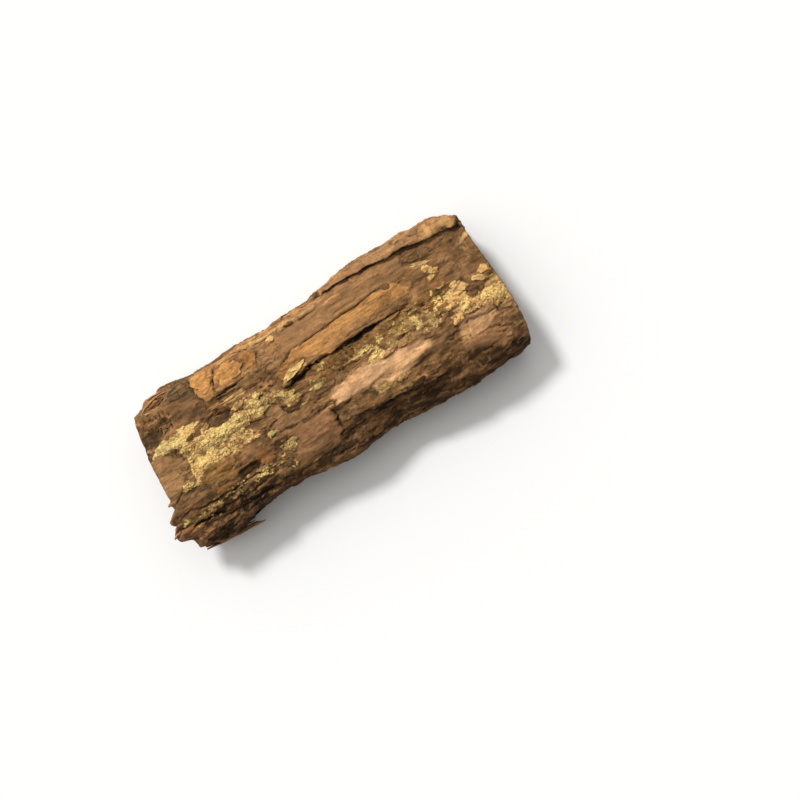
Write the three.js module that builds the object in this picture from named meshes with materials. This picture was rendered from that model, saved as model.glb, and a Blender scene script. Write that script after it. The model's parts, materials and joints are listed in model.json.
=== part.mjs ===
// Indian almond bark: one curled shell of bark, lying on its two long rims with the outer side up.
// Millimetres. +X runs along the grain, +Y across it and +Z up.
// The shell is a grid of points: stations along the grain, and steps across it from rim to rim.
import * as THREE from "three";

// Driving dimensions
const cutLeftX = -82.6; // the saw cut at the left end, on the crown
const cutRightX = 79.8; // the saw cut at the right end, on the crown
const sideLength = 54; // from the crown to a rim, measured round the outside
const wallAtCrown = 5.8;
const wallAtRim = 3.6;
const crownBend = 0.0125; // radians turned per millimetre over the crown and down the flanks
const shoulderTurn = 1.08; // radians turned round each shoulder
const shoulderShare = 0.58; // of a shoulder's length that counts towards the half width
const flankRate = 0.7; // how fast the "across" measure grows down a flank

// Resolution
const stations = 76;
const stepsPerSide = 24; // outside; the inside has half as many
const stepLength = sideLength / stepsPerSide;
const rowsOut = 2 * stepsPerSide;
const rowsIn = stepsPerSide;

// Outlines seen from above, before any relief is added, as [x, y]
const northEdge = [
  [-90, 26], [-79, 28.5], [-76, 31.4], [-65, 31.6], [-50, 29.4], [-30, 30.2], [-15, 29],
  [10, 31], [22, 33.8], [45, 34.4], [60, 34.2], [72, 33.2], [76, 31.8], [80, 29],
];
const southEdge = [
  [-90, -32.6], [-80, -32.6], [-57, -32.6], [-48, -31.4], [-35, -30.2], [-8, -32.2],
  [5, -30.2], [16, -29.4], [27, -31], [40, -31.8], [65, -30.6], [80, -30],
];
const crownLine = [[-84, -1], [-40, 0.5], [10, 1], [80, 2]];

// Height of the crown above the surface that the bark lies on, as [x, height]
const crownHeights = [[-84, 26.8], [-45, 28.4], [-10, 27.4], [30, 28.8], [80, 27.6]];

// Distance from the crown at which each side starts to turn down, as [x, distance]
const northShoulder = [[-84, 19], [-60, 21], [0, 23], [80, 24]];
const southShoulder = [[-84, 21], [-45, 22], [-10, 19.5], [12, 13], [26, 15], [60, 21], [80, 21]];

// How far each end stands past its saw cut, as [across, x offset]
const leftEnd = [
  [-46, 1.5], [-36, 0.5], [-31, 0.4], [-27.4, -0.6], [-25.8, -5.8], [-23, -7], [-20.6, -5.6],
  [-19.2, -2.8], [-17, -5.4], [-14.5, -2.6], [-12.6, -0.6], [-10.4, -1.8], [-8, -0.2], [0, -0.2],
  [10, 0.7], [20, 2], [27, 3], [36, 4], [46, 6],
];
const rightEnd = [
  [-46, -2.5], [-33, -1.8], [-28, -1], [-20, 0], [-10, 0.7], [0, 0.2], [10, -0.8], [25, -1.8],
  [30, -1.2], [36, -2.2], [46, -1],
];
const endReach = 18; // how far in from an end its shape fades

// Rims: height of each rim before it is worn flat where it touches down
const rimWave = { mean: 1.6, height: 1, length: 13, northSeed: 83, southSeed: 89 };
const touchdowns = { north: [-54, 50], south: [-66, 44] };
const touchdownDepth = 1;
const touchdownHalfLength = 5;

// Ledges: one layer of bark ends over the next. The layer on the +Y side stands proud.
const ledges = [
  {
    of: "middle plate",
    line: [[-21, 6.5], [-12, 7.6], [-4, 10.2], [8, 10.6], [22, 12], [44, 10]],
    rise: 2.4, reach: 9,
  },
  { of: "grey facet", line: [[-17, 15.5], [-10, 19.2], [4, 20], [22, 21], [40, 23]], rise: 0.9, reach: 10 },
  { of: "north strip", line: [[-32, 31], [-10, 31], [-4, 28.8], [12, 29]], rise: 1, reach: 8 },
  {
    of: "lip",
    line: [[6, 33.5], [30, 33.4], [52, 32.4], [60, 31.2], [70, 30.6], [84, 28]],
    rise: 2.7, reach: 16,
  },
  { of: "flake bed", line: [[-52, 17.5], [-44, 19], [-31, 20.2], [-22, 18]], rise: 1, reach: 8 },
  {
    of: "flank plate",
    line: [[-2, -17.4], [10, -17.6], [20, -18.6], [30, -20.5], [44, -22]],
    rise: 2, reach: 7,
  },
  { of: "lichen band", line: [[-86, -15.5], [-62, -17], [-40, -18], [-30, -20]], rise: 0.9, reach: 7 },
  { of: "north flank", line: [[-70, 38.5], [-30, 37], [10, 40], [60, 39.5]], rise: 1.3, reach: 6 },
  { of: "south flank", line: [[-40, -31], [-5, -33.5], [30, -32], [78, -34]], rise: 1.4, reach: 6 },
];
const ledgeSoftness = 0.9;

// Cracks: dark splits along the grain
const cracks = [
  {
    of: "middle plate",
    line: [[-22, 6], [-12, 6.6], [-4, 8.8], [8, 9.2], [22, 10.6], [44, 8.8]],
    depth: 1.5, half: 1.4,
  },
  { of: "lip", line: [[48, 31.5], [60, 30], [70, 29.4], [82, 27.4]], depth: 1.5, half: 1.3 },
  {
    of: "lower strip",
    line: [[-90, -21.3], [-76, -22.6], [-66, -24.8], [-52, -26.4], [-38, -27]],
    depth: 3.2, half: 1.5,
  },
  { of: "flake slit", line: [[-47, 18], [-39, 19], [-30, 19.6]], depth: 1.4, half: 1.2 },
  { of: "scar slit", line: [[-52, 13], [-47, 12], [-42, 10.4]], depth: 1.3, half: 1.3 },
  { of: "pink plate", line: [[-36, -7.5], [-20, -8], [-2, -9.2], [16, -10]], depth: 0.9, half: 1.3 },
  { of: "flank plate", line: [[12, -20], [22, -21], [31, -22.5]], depth: 1.8, half: 1.5 },
  { of: "right plate", line: [[62, -14.5], [68, -16], [76, -19.5]], depth: 1.1, half: 1.3 },
  { of: "north flank", line: [[-58, 42], [-10, 43.5], [30, 42.5]], depth: 1.2, half: 1.4 },
  { of: "south flank", line: [[-30, -38.5], [20, -37], [70, -39]], depth: 1.2, half: 1.4 },
];
const lineEndFade = 5;

// Patches: raised plates and sunken scars, each an oval with a ragged edge
const patches = [
  { of: "torn corner", at: [-72, 32], half: [10, 6.5], rise: -1.6 },
  { of: "dark plate", at: [-58.5, 24], half: [7, 9], rise: 0.9 },
  { of: "dark column", at: [-75.5, 20.5], half: [5.5, 6], rise: -0.7 },
  { of: "orange flake", at: [-47.5, 24], half: [5, 7], rise: 0.8 },
  { of: "second flake", at: [-36.5, 24], half: [7, 4], rise: 0.8 },
  { of: "tan plate", at: [-77, 0], half: [6.5, 9], rise: 0.8 },
  { of: "bright crust", at: [-44, 5.5], half: [9, 3.4], rise: 0.7 },
  { of: "dark scar", at: [-48.5, 11], half: [7, 3.6], rise: -0.8 },
  { of: "oval scar", at: [-47.5, -13.6], half: [6.5, 2.8], rise: -0.9 },
  { of: "ochre plate", at: [-51, -10], half: [11, 5.5], rise: 0.6 },
  { of: "pink plate", at: [12, -6.5], half: [14, 5], rise: 0.9 },
  { of: "long plate", at: [-19, -16], half: [12, 7], rise: 0.7 },
  { of: "lower strip", at: [-70, -30], half: [18, 3.8], rise: 2 },
  { of: "right crust", at: [68, -5], half: [12.5, 4.8], rise: 0.9 },
  { of: "right field", at: [66, 19], half: [15, 8], rise: -0.5 },
  { of: "north flank plate", at: [-20, 38], half: [22, 4], rise: 0.9 },
  { of: "south flank plate", at: [52, -29], half: [20, 4.5], rise: 0.8 },
];
const patchEdge = 0.3; // share of a patch that its edge takes
const patchRagged = { along: 4, across: 3, share: 0.22, seed: 71 };

// The splinter that stands out along the lower left rim
const splinter = { fromX: -84, tipX: -54.5, tipLength: 3, across: -40.5, half: 3.4, rise: 3.4 };

// Ripples: long waves along the grain and shorter lumps between them, as wavelengths and height
const ripples = [
  { along: 46, across: 8.5, height: 1.1, seed: 3 },
  { along: 17, across: 4.6, height: 0.75, seed: 11 },
  { along: 7, across: 3.4, height: 0.4, seed: 29 },
];
const insideRipples = [
  { along: 60, across: 7, height: 0.7, seed: 41 },
  { along: 22, across: 4.2, height: 0.35, seed: 47 },
];
const crustLumps = { from: -12, to: 3, startX: 52, fade: 4, along: 4.4, across: 4.2, height: 1.1, seed: 61 };

const clamp = (value) => Math.min(Math.max(value, 0), 1);

function smooth(value) {
  const t = clamp(value);
  return t * t * (3 - 2 * t);
}

// Straight-line reading of a list of [x, value] pairs.
function readLine(points, x) {
  if (x <= points[0][0]) return points[0][1];
  for (let k = 1; k < points.length; k++) {
    const [x0, v0] = points[k - 1];
    const [x1, v1] = points[k];
    if (x <= x1) return v0 + ((v1 - v0) * (x - x0)) / (x1 - x0);
  }
  return points[points.length - 1][1];
}

// A repeatable number from -1 to 1 for each whole-number pair.
function latticeValue(i, j, seed) {
  let hash = Math.imul(i, 374761393) + Math.imul(j, 668265263) + Math.imul(seed, 1274126177);
  hash = Math.imul(hash ^ (hash >>> 13), 1274126177);
  return (((hash ^ (hash >>> 16)) >>> 0) / 4294967295) * 2 - 1;
}

// Smooth noise: the four lattice values round a point, blended.
function noise(a, b, seed) {
  const i = Math.floor(a);
  const j = Math.floor(b);
  const s = smooth(a - i);
  const t = smooth(b - j);
  const low = latticeValue(i, j, seed) * (1 - s) + latticeValue(i + 1, j, seed) * s;
  const high = latticeValue(i, j + 1, seed) * (1 - s) + latticeValue(i + 1, j + 1, seed) * s;
  return low * (1 - t) + high * t;
}

function rippleHeight(waves, x, across) {
  return waves.reduce(
    (sum, { along, across: width, height, seed }) => sum + height * noise(x / along, across / width, seed),
    0,
  );
}

// 1 along a line and 0 past its ends.
function lineFade(line, x) {
  const first = line[0][0];
  const last = line[line.length - 1][0];
  return smooth((x - first) / lineEndFade) * smooth((last - x) / lineEndFade);
}

// A ledge rises at its line and sinks back over its reach; a crack is a rounded groove.
function lineRelief(x, across) {
  let sum = 0;
  for (const { line, rise, reach } of ledges) {
    const past = across - readLine(line, x);
    const step = smooth(0.5 + past / (2 * ledgeSoftness));
    sum += rise * lineFade(line, x) * step * Math.exp(-Math.max(past, 0) / reach);
  }
  for (const { line, depth, half } of cracks) {
    const off = (across - readLine(line, x)) / half;
    sum -= depth * lineFade(line, x) * Math.exp(-off * off);
  }
  return sum;
}

function patchRelief(x, across) {
  let sum = 0;
  for (const { at, half, rise } of patches) {
    const out = Math.hypot((x - at[0]) / half[0], (across - at[1]) / half[1]);
    const { share, along, across: width, seed } = patchRagged;
    const ragged = out + share * noise(x / along, across / width, seed);
    sum += rise * smooth((1 - ragged) / patchEdge);
  }
  return sum;
}

function splinterRelief(x, across) {
  const { fromX, tipX, tipLength, across: middle, half, rise } = splinter;
  const width = clamp(1 - Math.abs(across - middle) / half);
  const grow = smooth((x - fromX) / (tipX - fromX));
  const tip = clamp((tipX - x) / tipLength + 0.5);
  return rise * width * grow * tip;
}

function crustRelief(x, across) {
  const { from, to, startX, fade, along, across: width, height, seed } = crustLumps;
  const inside = smooth((across - from) / fade) * smooth((to - across) / fade) * smooth((x - startX) / fade);
  return height * inside * noise(x / along, across / width, seed);
}

function outerRelief(x, across) {
  return (
    rippleHeight(ripples, x, across) +
    lineRelief(x, across) +
    patchRelief(x, across) +
    splinterRelief(x, across) +
    crustRelief(x, across)
  );
}

// Height of a rim at x: a slow wave, with a dip at each place where it touches down.
function rimHeight(x, side) {
  const spots = side > 0 ? touchdowns.north : touchdowns.south;
  const dip = Math.max(...spots.map((spot) => smooth(2 - Math.abs(x - spot) / touchdownHalfLength)));
  const seed = side > 0 ? rimWave.northSeed : rimWave.southSeed;
  const wave = rimWave.mean + rimWave.height * noise(x / rimWave.length, 0.5, seed);
  return wave * (1 - dip) - touchdownDepth * dip;
}

// One side of a cross-section, from the crown to the rim. The heading turns slowly over the
// crown, quickly round the shoulder and slowly again down the flank.
function halfSection(x, side) {
  const crownY = readLine(crownLine, x);
  const halfWidth = side > 0 ? readLine(northEdge, x) - crownY : crownY - readLine(southEdge, x);
  const shoulder = readLine(side > 0 ? northShoulder : southShoulder, x);
  const shoulderLength = (halfWidth - shoulder) / shoulderShare;
  const crownHeight = readLine(crownHeights, x);
  const steps = [{ out: 0, drop: 0, across: 0, heading: 0 }];
  let out = 0;
  let drop = 0;
  let across = 0;
  for (let k = 0; k < stepsPerSide; k++) {
    const distance = (k + 0.5) * stepLength;
    const heading = crownBend * distance + shoulderTurn * smooth((distance - shoulder) / shoulderLength);
    out += Math.cos(heading) * stepLength;
    drop += Math.sin(heading) * stepLength;
    across += Math.max(Math.cos(heading), flankRate) * stepLength;
    steps.push({ out, drop, across, heading });
  }
  const widen = halfWidth / Math.max(...steps.map((step) => step.out));
  const stretch = (crownHeight - rimHeight(x, side)) / drop;
  return steps.map((step) => ({
    y: crownY + side * step.out * widen,
    z: crownHeight - step.drop * stretch,
    across: crownY + side * step.across * widen,
    normalY: side * Math.sin(step.heading),
    normalZ: Math.cos(step.heading),
    fromCrown: Math.min(step.drop / drop, 1),
  }));
}

// A whole cross-section from the south rim over the crown to the north rim.
function fullSection(x) {
  const south = halfSection(x, -1).reverse();
  const north = halfSection(x, 1);
  return [...south, ...north.slice(1)];
}

// Where a point of the section lies along the grain: the saw cuts, with each end's own shape.
function placeAlong(x, across) {
  const left = readLine(leftEnd, across) * smooth((cutLeftX + endReach - x) / endReach);
  const right = readLine(rightEnd, across) * smooth((x - cutRightX + endReach) / endReach);
  return x + left + right;
}

// The bark's outside and inside as rows of points, one row per station.
function shellRows() {
  const outside = [];
  const inside = [];
  for (let i = 0; i <= stations; i++) {
    const x = cutLeftX + ((cutRightX - cutLeftX) * i) / stations;
    const section = fullSection(x);
    outside.push(
      section.map((point) => {
        const relief = outerRelief(x, point.across);
        return [
          placeAlong(x, point.across),
          point.y + point.normalY * relief,
          Math.max(point.z + point.normalZ * relief, 0),
        ];
      }),
    );
    inside.push(
      section
        .filter((point, j) => j % 2 === 0)
        .map((point) => {
          const wall =
            wallAtCrown + (wallAtRim - wallAtCrown) * point.fromCrown +
            rippleHeight(insideRipples, x, point.across);
          return [
            placeAlong(x, point.across),
            point.y - point.normalY * wall,
            Math.max(point.z - point.normalZ * wall, 0),
          ];
        }),
    );
  }
  return { outside, inside };
}

// Joins the two grids along both rims and both ends into one closed body.
function shellGeometry() {
  const { outside, inside } = shellRows();
  const firstInside = (stations + 1) * (rowsOut + 1);
  const outer = (i, j) => i * (rowsOut + 1) + j;
  const inner = (i, j) => firstInside + i * (rowsIn + 1) + j;
  const faces = [];
  const quad = (a, b, c, d) => faces.push(a, b, c, a, c, d);

  for (let i = 0; i < stations; i++) {
    for (let j = 0; j < rowsOut; j++) {
      quad(outer(i, j), outer(i + 1, j), outer(i + 1, j + 1), outer(i, j + 1));
    }
    for (let j = 0; j < rowsIn; j++) {
      quad(inner(i, j), inner(i, j + 1), inner(i + 1, j + 1), inner(i + 1, j));
    }
    quad(outer(i, 0), inner(i, 0), inner(i + 1, 0), outer(i + 1, 0));
    quad(outer(i, rowsOut), outer(i + 1, rowsOut), inner(i + 1, rowsIn), inner(i, rowsIn));
  }

  // Each end: two outside steps meet one inside step.
  for (let j = 0; j < rowsIn; j++) {
    for (const [i, flip] of [[0, false], [stations, true]]) {
      const [o0, o1, o2] = [outer(i, 2 * j), outer(i, 2 * j + 1), outer(i, 2 * j + 2)];
      const [n0, n1] = [inner(i, j), inner(i, j + 1)];
      for (const [a, b, c] of [[o0, o1, n0], [o1, o2, n1], [o1, n1, n0]]) {
        faces.push(...(flip ? [a, c, b] : [a, b, c]));
      }
    }
  }

  const geometry = new THREE.BufferGeometry();
  const places = [...outside.flat(), ...inside.flat()].flat();
  geometry.setAttribute("position", new THREE.Float32BufferAttribute(places, 3));
  geometry.setIndex(faces);
  return geometry;
}

// Puts the origin at the middle of the bark's footprint.
function centred(geometry) {
  geometry.computeBoundingBox();
  const { min, max } = geometry.boundingBox;
  geometry.translate(-(min.x + max.x) / 2, -(min.y + max.y) / 2, -min.z);
  geometry.computeVertexNormals();
  return geometry;
}

const barkMaterial = new THREE.MeshStandardMaterial({ color: "#8a6546", roughness: 0.88, metalness: 0 });

const bark = new THREE.Mesh(centred(shellGeometry()), barkMaterial);
bark.name = "bark";

const almondBark = new THREE.Group();
almondBark.add(bark);

export default almondBark;
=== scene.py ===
import json
import math

import bmesh
import bpy
import numpy as np
from mathutils import Matrix, Vector

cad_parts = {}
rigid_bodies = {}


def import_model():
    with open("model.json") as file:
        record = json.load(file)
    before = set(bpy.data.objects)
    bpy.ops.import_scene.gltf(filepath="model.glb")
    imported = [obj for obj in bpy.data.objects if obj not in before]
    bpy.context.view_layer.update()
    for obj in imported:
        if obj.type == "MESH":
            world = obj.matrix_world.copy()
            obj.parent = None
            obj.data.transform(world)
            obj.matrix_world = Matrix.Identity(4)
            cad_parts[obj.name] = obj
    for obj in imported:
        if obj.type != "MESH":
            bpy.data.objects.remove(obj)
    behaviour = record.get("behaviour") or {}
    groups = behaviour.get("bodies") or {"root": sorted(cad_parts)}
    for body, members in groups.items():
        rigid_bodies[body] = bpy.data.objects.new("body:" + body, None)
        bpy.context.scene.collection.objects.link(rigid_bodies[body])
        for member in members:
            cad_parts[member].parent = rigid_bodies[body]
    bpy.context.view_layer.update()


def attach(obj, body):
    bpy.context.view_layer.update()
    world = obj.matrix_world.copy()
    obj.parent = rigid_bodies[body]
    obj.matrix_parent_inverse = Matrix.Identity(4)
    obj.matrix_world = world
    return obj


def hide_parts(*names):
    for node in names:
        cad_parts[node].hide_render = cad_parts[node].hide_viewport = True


# Indian almond bark: one curled shell, lying on its rims with the outer side up.
# Every shape is drawn in millimetres, x along the grain and "across" measured over the outside,
# as seen from above on the crown and running on down each flank.
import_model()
mm = 0.001
drawnMiddle = (-4.406, 1.365)  # the point of the drawing that stands over the origin

scene = bpy.context.scene
scene.view_settings.view_transform = "Standard"


# Small shared formulas
def smooth(value):
    # 0 below 0 and 1 above 1, eased between
    t = np.clip(value, 0.0, 1.0)
    return t * t * (3.0 - 2.0 * t)


def readLine(points, x):
    # straight-line reading of a list of (x, value) pairs
    table = np.asarray(points, float)
    return np.interp(x, table[:, 0], table[:, 1])


def latticeValue(i, j, seed):
    # a repeatable number from -1 to 1 for each pair of whole numbers
    mask = 0xFFFFFFFF
    mixed = (i * 374761393 + j * 668265263 + seed * 1274126177) & mask
    mixed = ((mixed ^ (mixed >> 13)) * 1274126177) & mask
    return (mixed ^ (mixed >> 16)) / mask * 2.0 - 1.0


def noise(a, b, seed):
    # the four lattice values round each point, blended with an eased weight
    i = np.floor(a).astype(np.int64)
    j = np.floor(b).astype(np.int64)
    s = smooth(a - i)
    t = smooth(b - j)
    low = latticeValue(i, j, seed) * (1 - s) + latticeValue(i + 1, j, seed) * s
    high = latticeValue(i, j + 1, seed) * (1 - s) + latticeValue(i + 1, j + 1, seed) * s
    return low * (1 - t) + high * t


def layeredNoise(a, b, seed, octaves=3):
    # noise plus finer noise at half the height each time, kept near -1 to 1
    total = np.zeros(np.broadcast(a, b).shape)
    for k in range(octaves):
        total += noise(a * 2.0**k, b * 2.0**k, seed + 17 * k) * 0.5**k
    return total / (2.0 - 0.5 ** (octaves - 1))


barkWarmth = np.array([0.90, 0.85, 0.77])  # dry bark's own cast, on top of every tone


def tone(red, green, blue):
    # a colour picked as screen values, turned into linear light and warmed
    value = np.array([red, green, blue]) / 255.0
    return np.where(value <= 0.04045, value / 12.92, ((value + 0.055) / 1.055) ** 2.4) * barkWarmth


# The shell's own form, the same as the solid's
shell = {
    "cutLeft": -82.6,
    "cutRight": 79.8,
    "sideLength": 54.0,
    "wallAtCrown": 5.8,
    "wallAtRim": 3.6,
    "crownBend": 0.0125,
    "shoulderTurn": 1.08,
    "shoulderShare": 0.58,
    "flankRate": 0.7,
    "northEdge": [
        (-90, 26), (-79, 28.5), (-76, 31.4), (-65, 31.6), (-50, 29.4), (-30, 30.2), (-15, 29),
        (10, 31), (22, 33.8), (45, 34.4), (60, 34.2), (72, 33.2), (76, 31.8), (80, 29),
    ],
    "southEdge": [
        (-90, -32.6), (-80, -32.6), (-57, -32.6), (-48, -31.4), (-35, -30.2), (-8, -32.2),
        (5, -30.2), (16, -29.4), (27, -31), (40, -31.8), (65, -30.6), (80, -30),
    ],
    "crownLine": [(-84, -1), (-40, 0.5), (10, 1), (80, 2)],
    "crownHeights": [(-84, 26.8), (-45, 28.4), (-10, 27.4), (30, 28.8), (80, 27.6)],
    "northShoulder": [(-84, 19), (-60, 21), (0, 23), (80, 24)],
    "southShoulder": [(-84, 21), (-45, 22), (-10, 19.5), (12, 13), (26, 15), (60, 21), (80, 21)],
    "leftEnd": [
        (-46, 1.5), (-36, 0.5), (-31, 0.4), (-27.4, -0.6), (-25.8, -5.8), (-23, -7), (-20.6, -5.6),
        (-19.2, -2.8), (-17, -5.4), (-14.5, -2.6), (-12.6, -0.6), (-10.4, -1.8), (-8, -0.2),
        (0, -0.2), (10, 0.7), (20, 2), (27, 3), (36, 4), (46, 6),
    ],
    "rightEnd": [
        (-46, -2.5), (-33, -1.8), (-28, -1), (-20, 0), (-10, 0.7), (0, 0.2), (10, -0.8), (25, -1.8),
        (30, -1.2), (36, -2.2), (46, -1),
    ],
    "endReach": 18.0,
    "rimWave": {"mean": 1.6, "height": 1.0, "length": 13.0, 1: 83, -1: 89},
    "touchdowns": {1: (-54, 50), -1: (-66, 44)},
    "touchdownDepth": 1.0,
    "touchdownHalfLength": 5.0,
}


def rimHeight(x, side):
    # a slow wave along the rim, with a dip at each place where it touches down
    near = np.max([smooth(2 - np.abs(x - spot) / shell["touchdownHalfLength"])
                   for spot in shell["touchdowns"][side]], axis=0)
    wave = shell["rimWave"]
    free = wave["mean"] + wave["height"] * noise(x / wave["length"], np.full_like(x, 0.5), wave[side])
    return free * (1 - near) - shell["touchdownDepth"] * near


def halfSection(x, side, steps):
    # heading = bend times distance plus an eased turn round the shoulder; its running sums give
    # how far out, how far down and how far across each step lies
    crownY = readLine(shell["crownLine"], x)[:, None]
    edge = readLine(shell["northEdge" if side > 0 else "southEdge"], x)[:, None]
    halfWidth = (edge - crownY) * side
    shoulder = readLine(shell["northShoulder" if side > 0 else "southShoulder"], x)[:, None]
    length = (halfWidth - shoulder) / shell["shoulderShare"]
    step = shell["sideLength"] / steps
    distance = ((np.arange(steps) + 0.5) * step)[None, :]
    heading = shell["crownBend"] * distance + shell["shoulderTurn"] * smooth((distance - shoulder) / length)
    start = np.zeros((len(x), 1))
    out = np.hstack([start, np.cumsum(np.cos(heading), 1) * step])
    drop = np.hstack([start, np.cumsum(np.sin(heading), 1) * step])
    across = np.hstack([start, np.cumsum(np.maximum(np.cos(heading), shell["flankRate"]), 1) * step])
    heading = np.hstack([start, heading])
    widen = halfWidth / out.max(axis=1, keepdims=True)
    crownZ = readLine(shell["crownHeights"], x)[:, None]
    stretch = (crownZ - rimHeight(x, side)[:, None]) / drop[:, -1:]
    return np.stack([
        crownY + side * out * widen, crownZ - drop * stretch, crownY + side * across * widen,
        side * np.sin(heading), np.cos(heading), drop / drop[:, -1:],
    ])


def fullSection(x, steps):
    # rows: y, z, across, normal y, normal z, share of the way down; south rim to north rim
    south = halfSection(x, -1, steps)[:, :, ::-1]
    north = halfSection(x, 1, steps)
    return np.concatenate([south, north[:, :, 1:]], axis=2)


def placeAlong(x, across):
    # the saw cuts with each end's own ragged shape, faded out away from the end
    reach = shell["endReach"]
    left = readLine(shell["leftEnd"], across) * smooth((shell["cutLeft"] + reach - x) / reach)
    right = readLine(shell["rightEnd"], across) * smooth((x - shell["cutRight"] + reach) / reach)
    ragged = 0.6 * noise(across / 1.7, across * 0, 201) + 0.3 * noise(across / 0.7, across * 0, 203)
    torn = 0.2 + 0.8 * smooth((-6 - across) / 4)
    fade = torn * smooth((shell["cutLeft"] + 6 - x) / 6) + 0.25 * smooth((x - shell["cutRight"] + 6) / 6)
    return x + left + right + ragged * fade


# The outside as a map over (x, across), so that anything can be laid on it
mapX = np.linspace(-92.0, 84.0, 353)
mapAcross = np.linspace(-47.0, 47.0, 471)


def makeSurfaceMap():
    section = fullSection(mapX, 120)
    return np.array([[np.interp(mapAcross, section[2, i], section[k, i]) for i in range(len(mapX))]
                     for k in (0, 1, 3, 4, 5)])


surfaceMap = makeSurfaceMap()


def onShell(x, across):
    # y, z, normal y, normal z and share down at any (x, across), read between the map's points
    a = np.clip((x - mapX[0]) / (mapX[1] - mapX[0]), 0, len(mapX) - 1.001)
    b = np.clip((across - mapAcross[0]) / (mapAcross[1] - mapAcross[0]), 0, len(mapAcross) - 1.001)
    i = a.astype(int)
    j = b.astype(int)
    s = a - i
    t = b - j
    return (surfaceMap[:, i, j] * (1 - s) * (1 - t) + surfaceMap[:, i + 1, j] * s * (1 - t)
            + surfaceMap[:, i, j + 1] * (1 - s) * t + surfaceMap[:, i + 1, j + 1] * s * t)


# Relief that the solid has too, here with sharper edges
ledges = [
    ("middle plate", [(-21, 6.5), (-12, 7.6), (-4, 10.2), (8, 10.6), (22, 12), (44, 10)], 2.4, 9),
    ("grey facet", [(-17, 15.5), (-10, 19.2), (4, 20), (22, 21), (40, 23)], 0.9, 10),
    ("north strip", [(-32, 31), (-10, 31), (-4, 28.8), (12, 29)], 1.0, 8),
    ("lip", [(6, 33.5), (30, 33.4), (52, 32.4), (60, 31.2), (70, 30.6), (84, 28)], 2.7, 16),
    ("flake bed", [(-52, 17.5), (-44, 19), (-31, 20.2), (-22, 18)], 1.0, 8),
    ("flank plate", [(-2, -17.4), (10, -17.6), (20, -18.6), (30, -20.5), (44, -22)], 2.0, 7),
    ("lichen band", [(-86, -15.5), (-62, -17), (-40, -18), (-30, -20)], 0.9, 7),
    ("north flank", [(-70, 38.5), (-30, 37), (10, 40), (60, 39.5)], 1.3, 6),
    ("south flank", [(-40, -31), (-5, -33.5), (30, -32), (78, -34)], 1.4, 6),
]
cracks = [
    ("middle plate", [(-22, 7.2), (-14, 6.6), (-7, 8.6), (0, 9.1), (8, 10), (22, 11.2),
     (44, 8.8)], 1.9, 0.6),
    ("lip", [(50, 32), (60, 30.6), (70, 30), (82, 27.8)], 2.2, 0.7),
    ("lower strip", [(-90, -21.6), (-76, -22.8), (-66, -24.6)], 3.0, 0.8),
    ("lower strip, right", [(-69, -26), (-60, -26.6), (-50, -26.2), (-40, -27.2)], 2.2, 0.9),
    ("flake slit", [(-47, 18), (-39, 19), (-30, 19.6)], 1.8, 0.5),
    ("scar slit", [(-52, 13), (-47, 12), (-42, 10.4)], 1.8, 0.5),
    ("scar lower slit", [(-51, 7.8), (-48, 7.4), (-45, 7.6)], 1.2, 0.4),
    ("pink plate", [(-36, -7.5), (-20, -8), (-2, -9.2)], 0.8, 0.35),
    ("grey facet", [(-18, 15), (-10, 19), (4, 19.9), (22, 20.8)], 0.6, 0.3),
    ("flank plate", [(12, -20), (22, -21), (31, -22.5)], 2.2, 0.9),
    ("right plate", [(62, -14.5), (68, -16), (76, -19.5)], 1.2, 0.5),
    ("right plate, lower", [(65, -18.4), (70, -19.4), (75, -19)], 0.8, 0.4),
    ("north flank", [(-58, 42), (-10, 43.5), (30, 42.5)], 1.4, 0.8),
    ("south flank", [(-30, -38.5), (20, -37), (70, -39)], 1.4, 0.8),
    ("south flank, upper", [(-30, -31.5), (-5, -32.8), (20, -30.5), (46, -31.6), (74, -29.5)], 1.0, 0.5),
    ("south flank, low", [(-60, -42), (-20, -42.8), (10, -41.2), (50, -43)], 0.9, 0.5),
    ("north flank, upper", [(-56, 38.4), (-30, 39.6), (0, 38), (34, 39.8), (70, 38)], 0.9, 0.5),
    ("strip line", [(-48, 30.6), (-37, 29.7), (-20, 28.9), (-8, 29.6)], 0.5, 0.35),
    ("strip line 2", [(-40, 31.2), (-26, 31.4), (-12, 30.8)], 0.4, 0.3),
    ("corner slit", [(-79, 27.8), (-72, 28.9), (-65, 30.4)], 2.4, 0.6),
    ("corner line", [(-74, 26.6), (-68, 28.4), (-62, 31.6)], 0.7, 0.35),
    ("left lines", [(-48, 16.2), (-40, 15.9), (-30, 14.6), (-22, 14.2)], 0.7, 0.35),
    ("left lines 2", [(-44, 9.6), (-38, 8.6), (-32, 5.8), (-26, 4.6)], 0.7, 0.35),
    ("lumps line", [(-2, 2.4), (8, 1.2), (18, 0.8), (26, -0.4)], 0.6, 0.35),
    ("lower band", [(-66, -21.4), (-56, -22.8), (-44, -22.4), (-36, -20.4)], 0.9, 0.5),
    ("lip line", [(12, 35), (30, 35.4), (50, 34.6), (74, 33)], 0.5, 0.35),
    ("lip line 2", [(48, 36.6), (62, 35.8), (78, 32.4)], 0.4, 0.3),
    ("field line", [(52, 25.6), (60, 24.2), (68, 24.6)], 0.6, 0.35),
]
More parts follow.
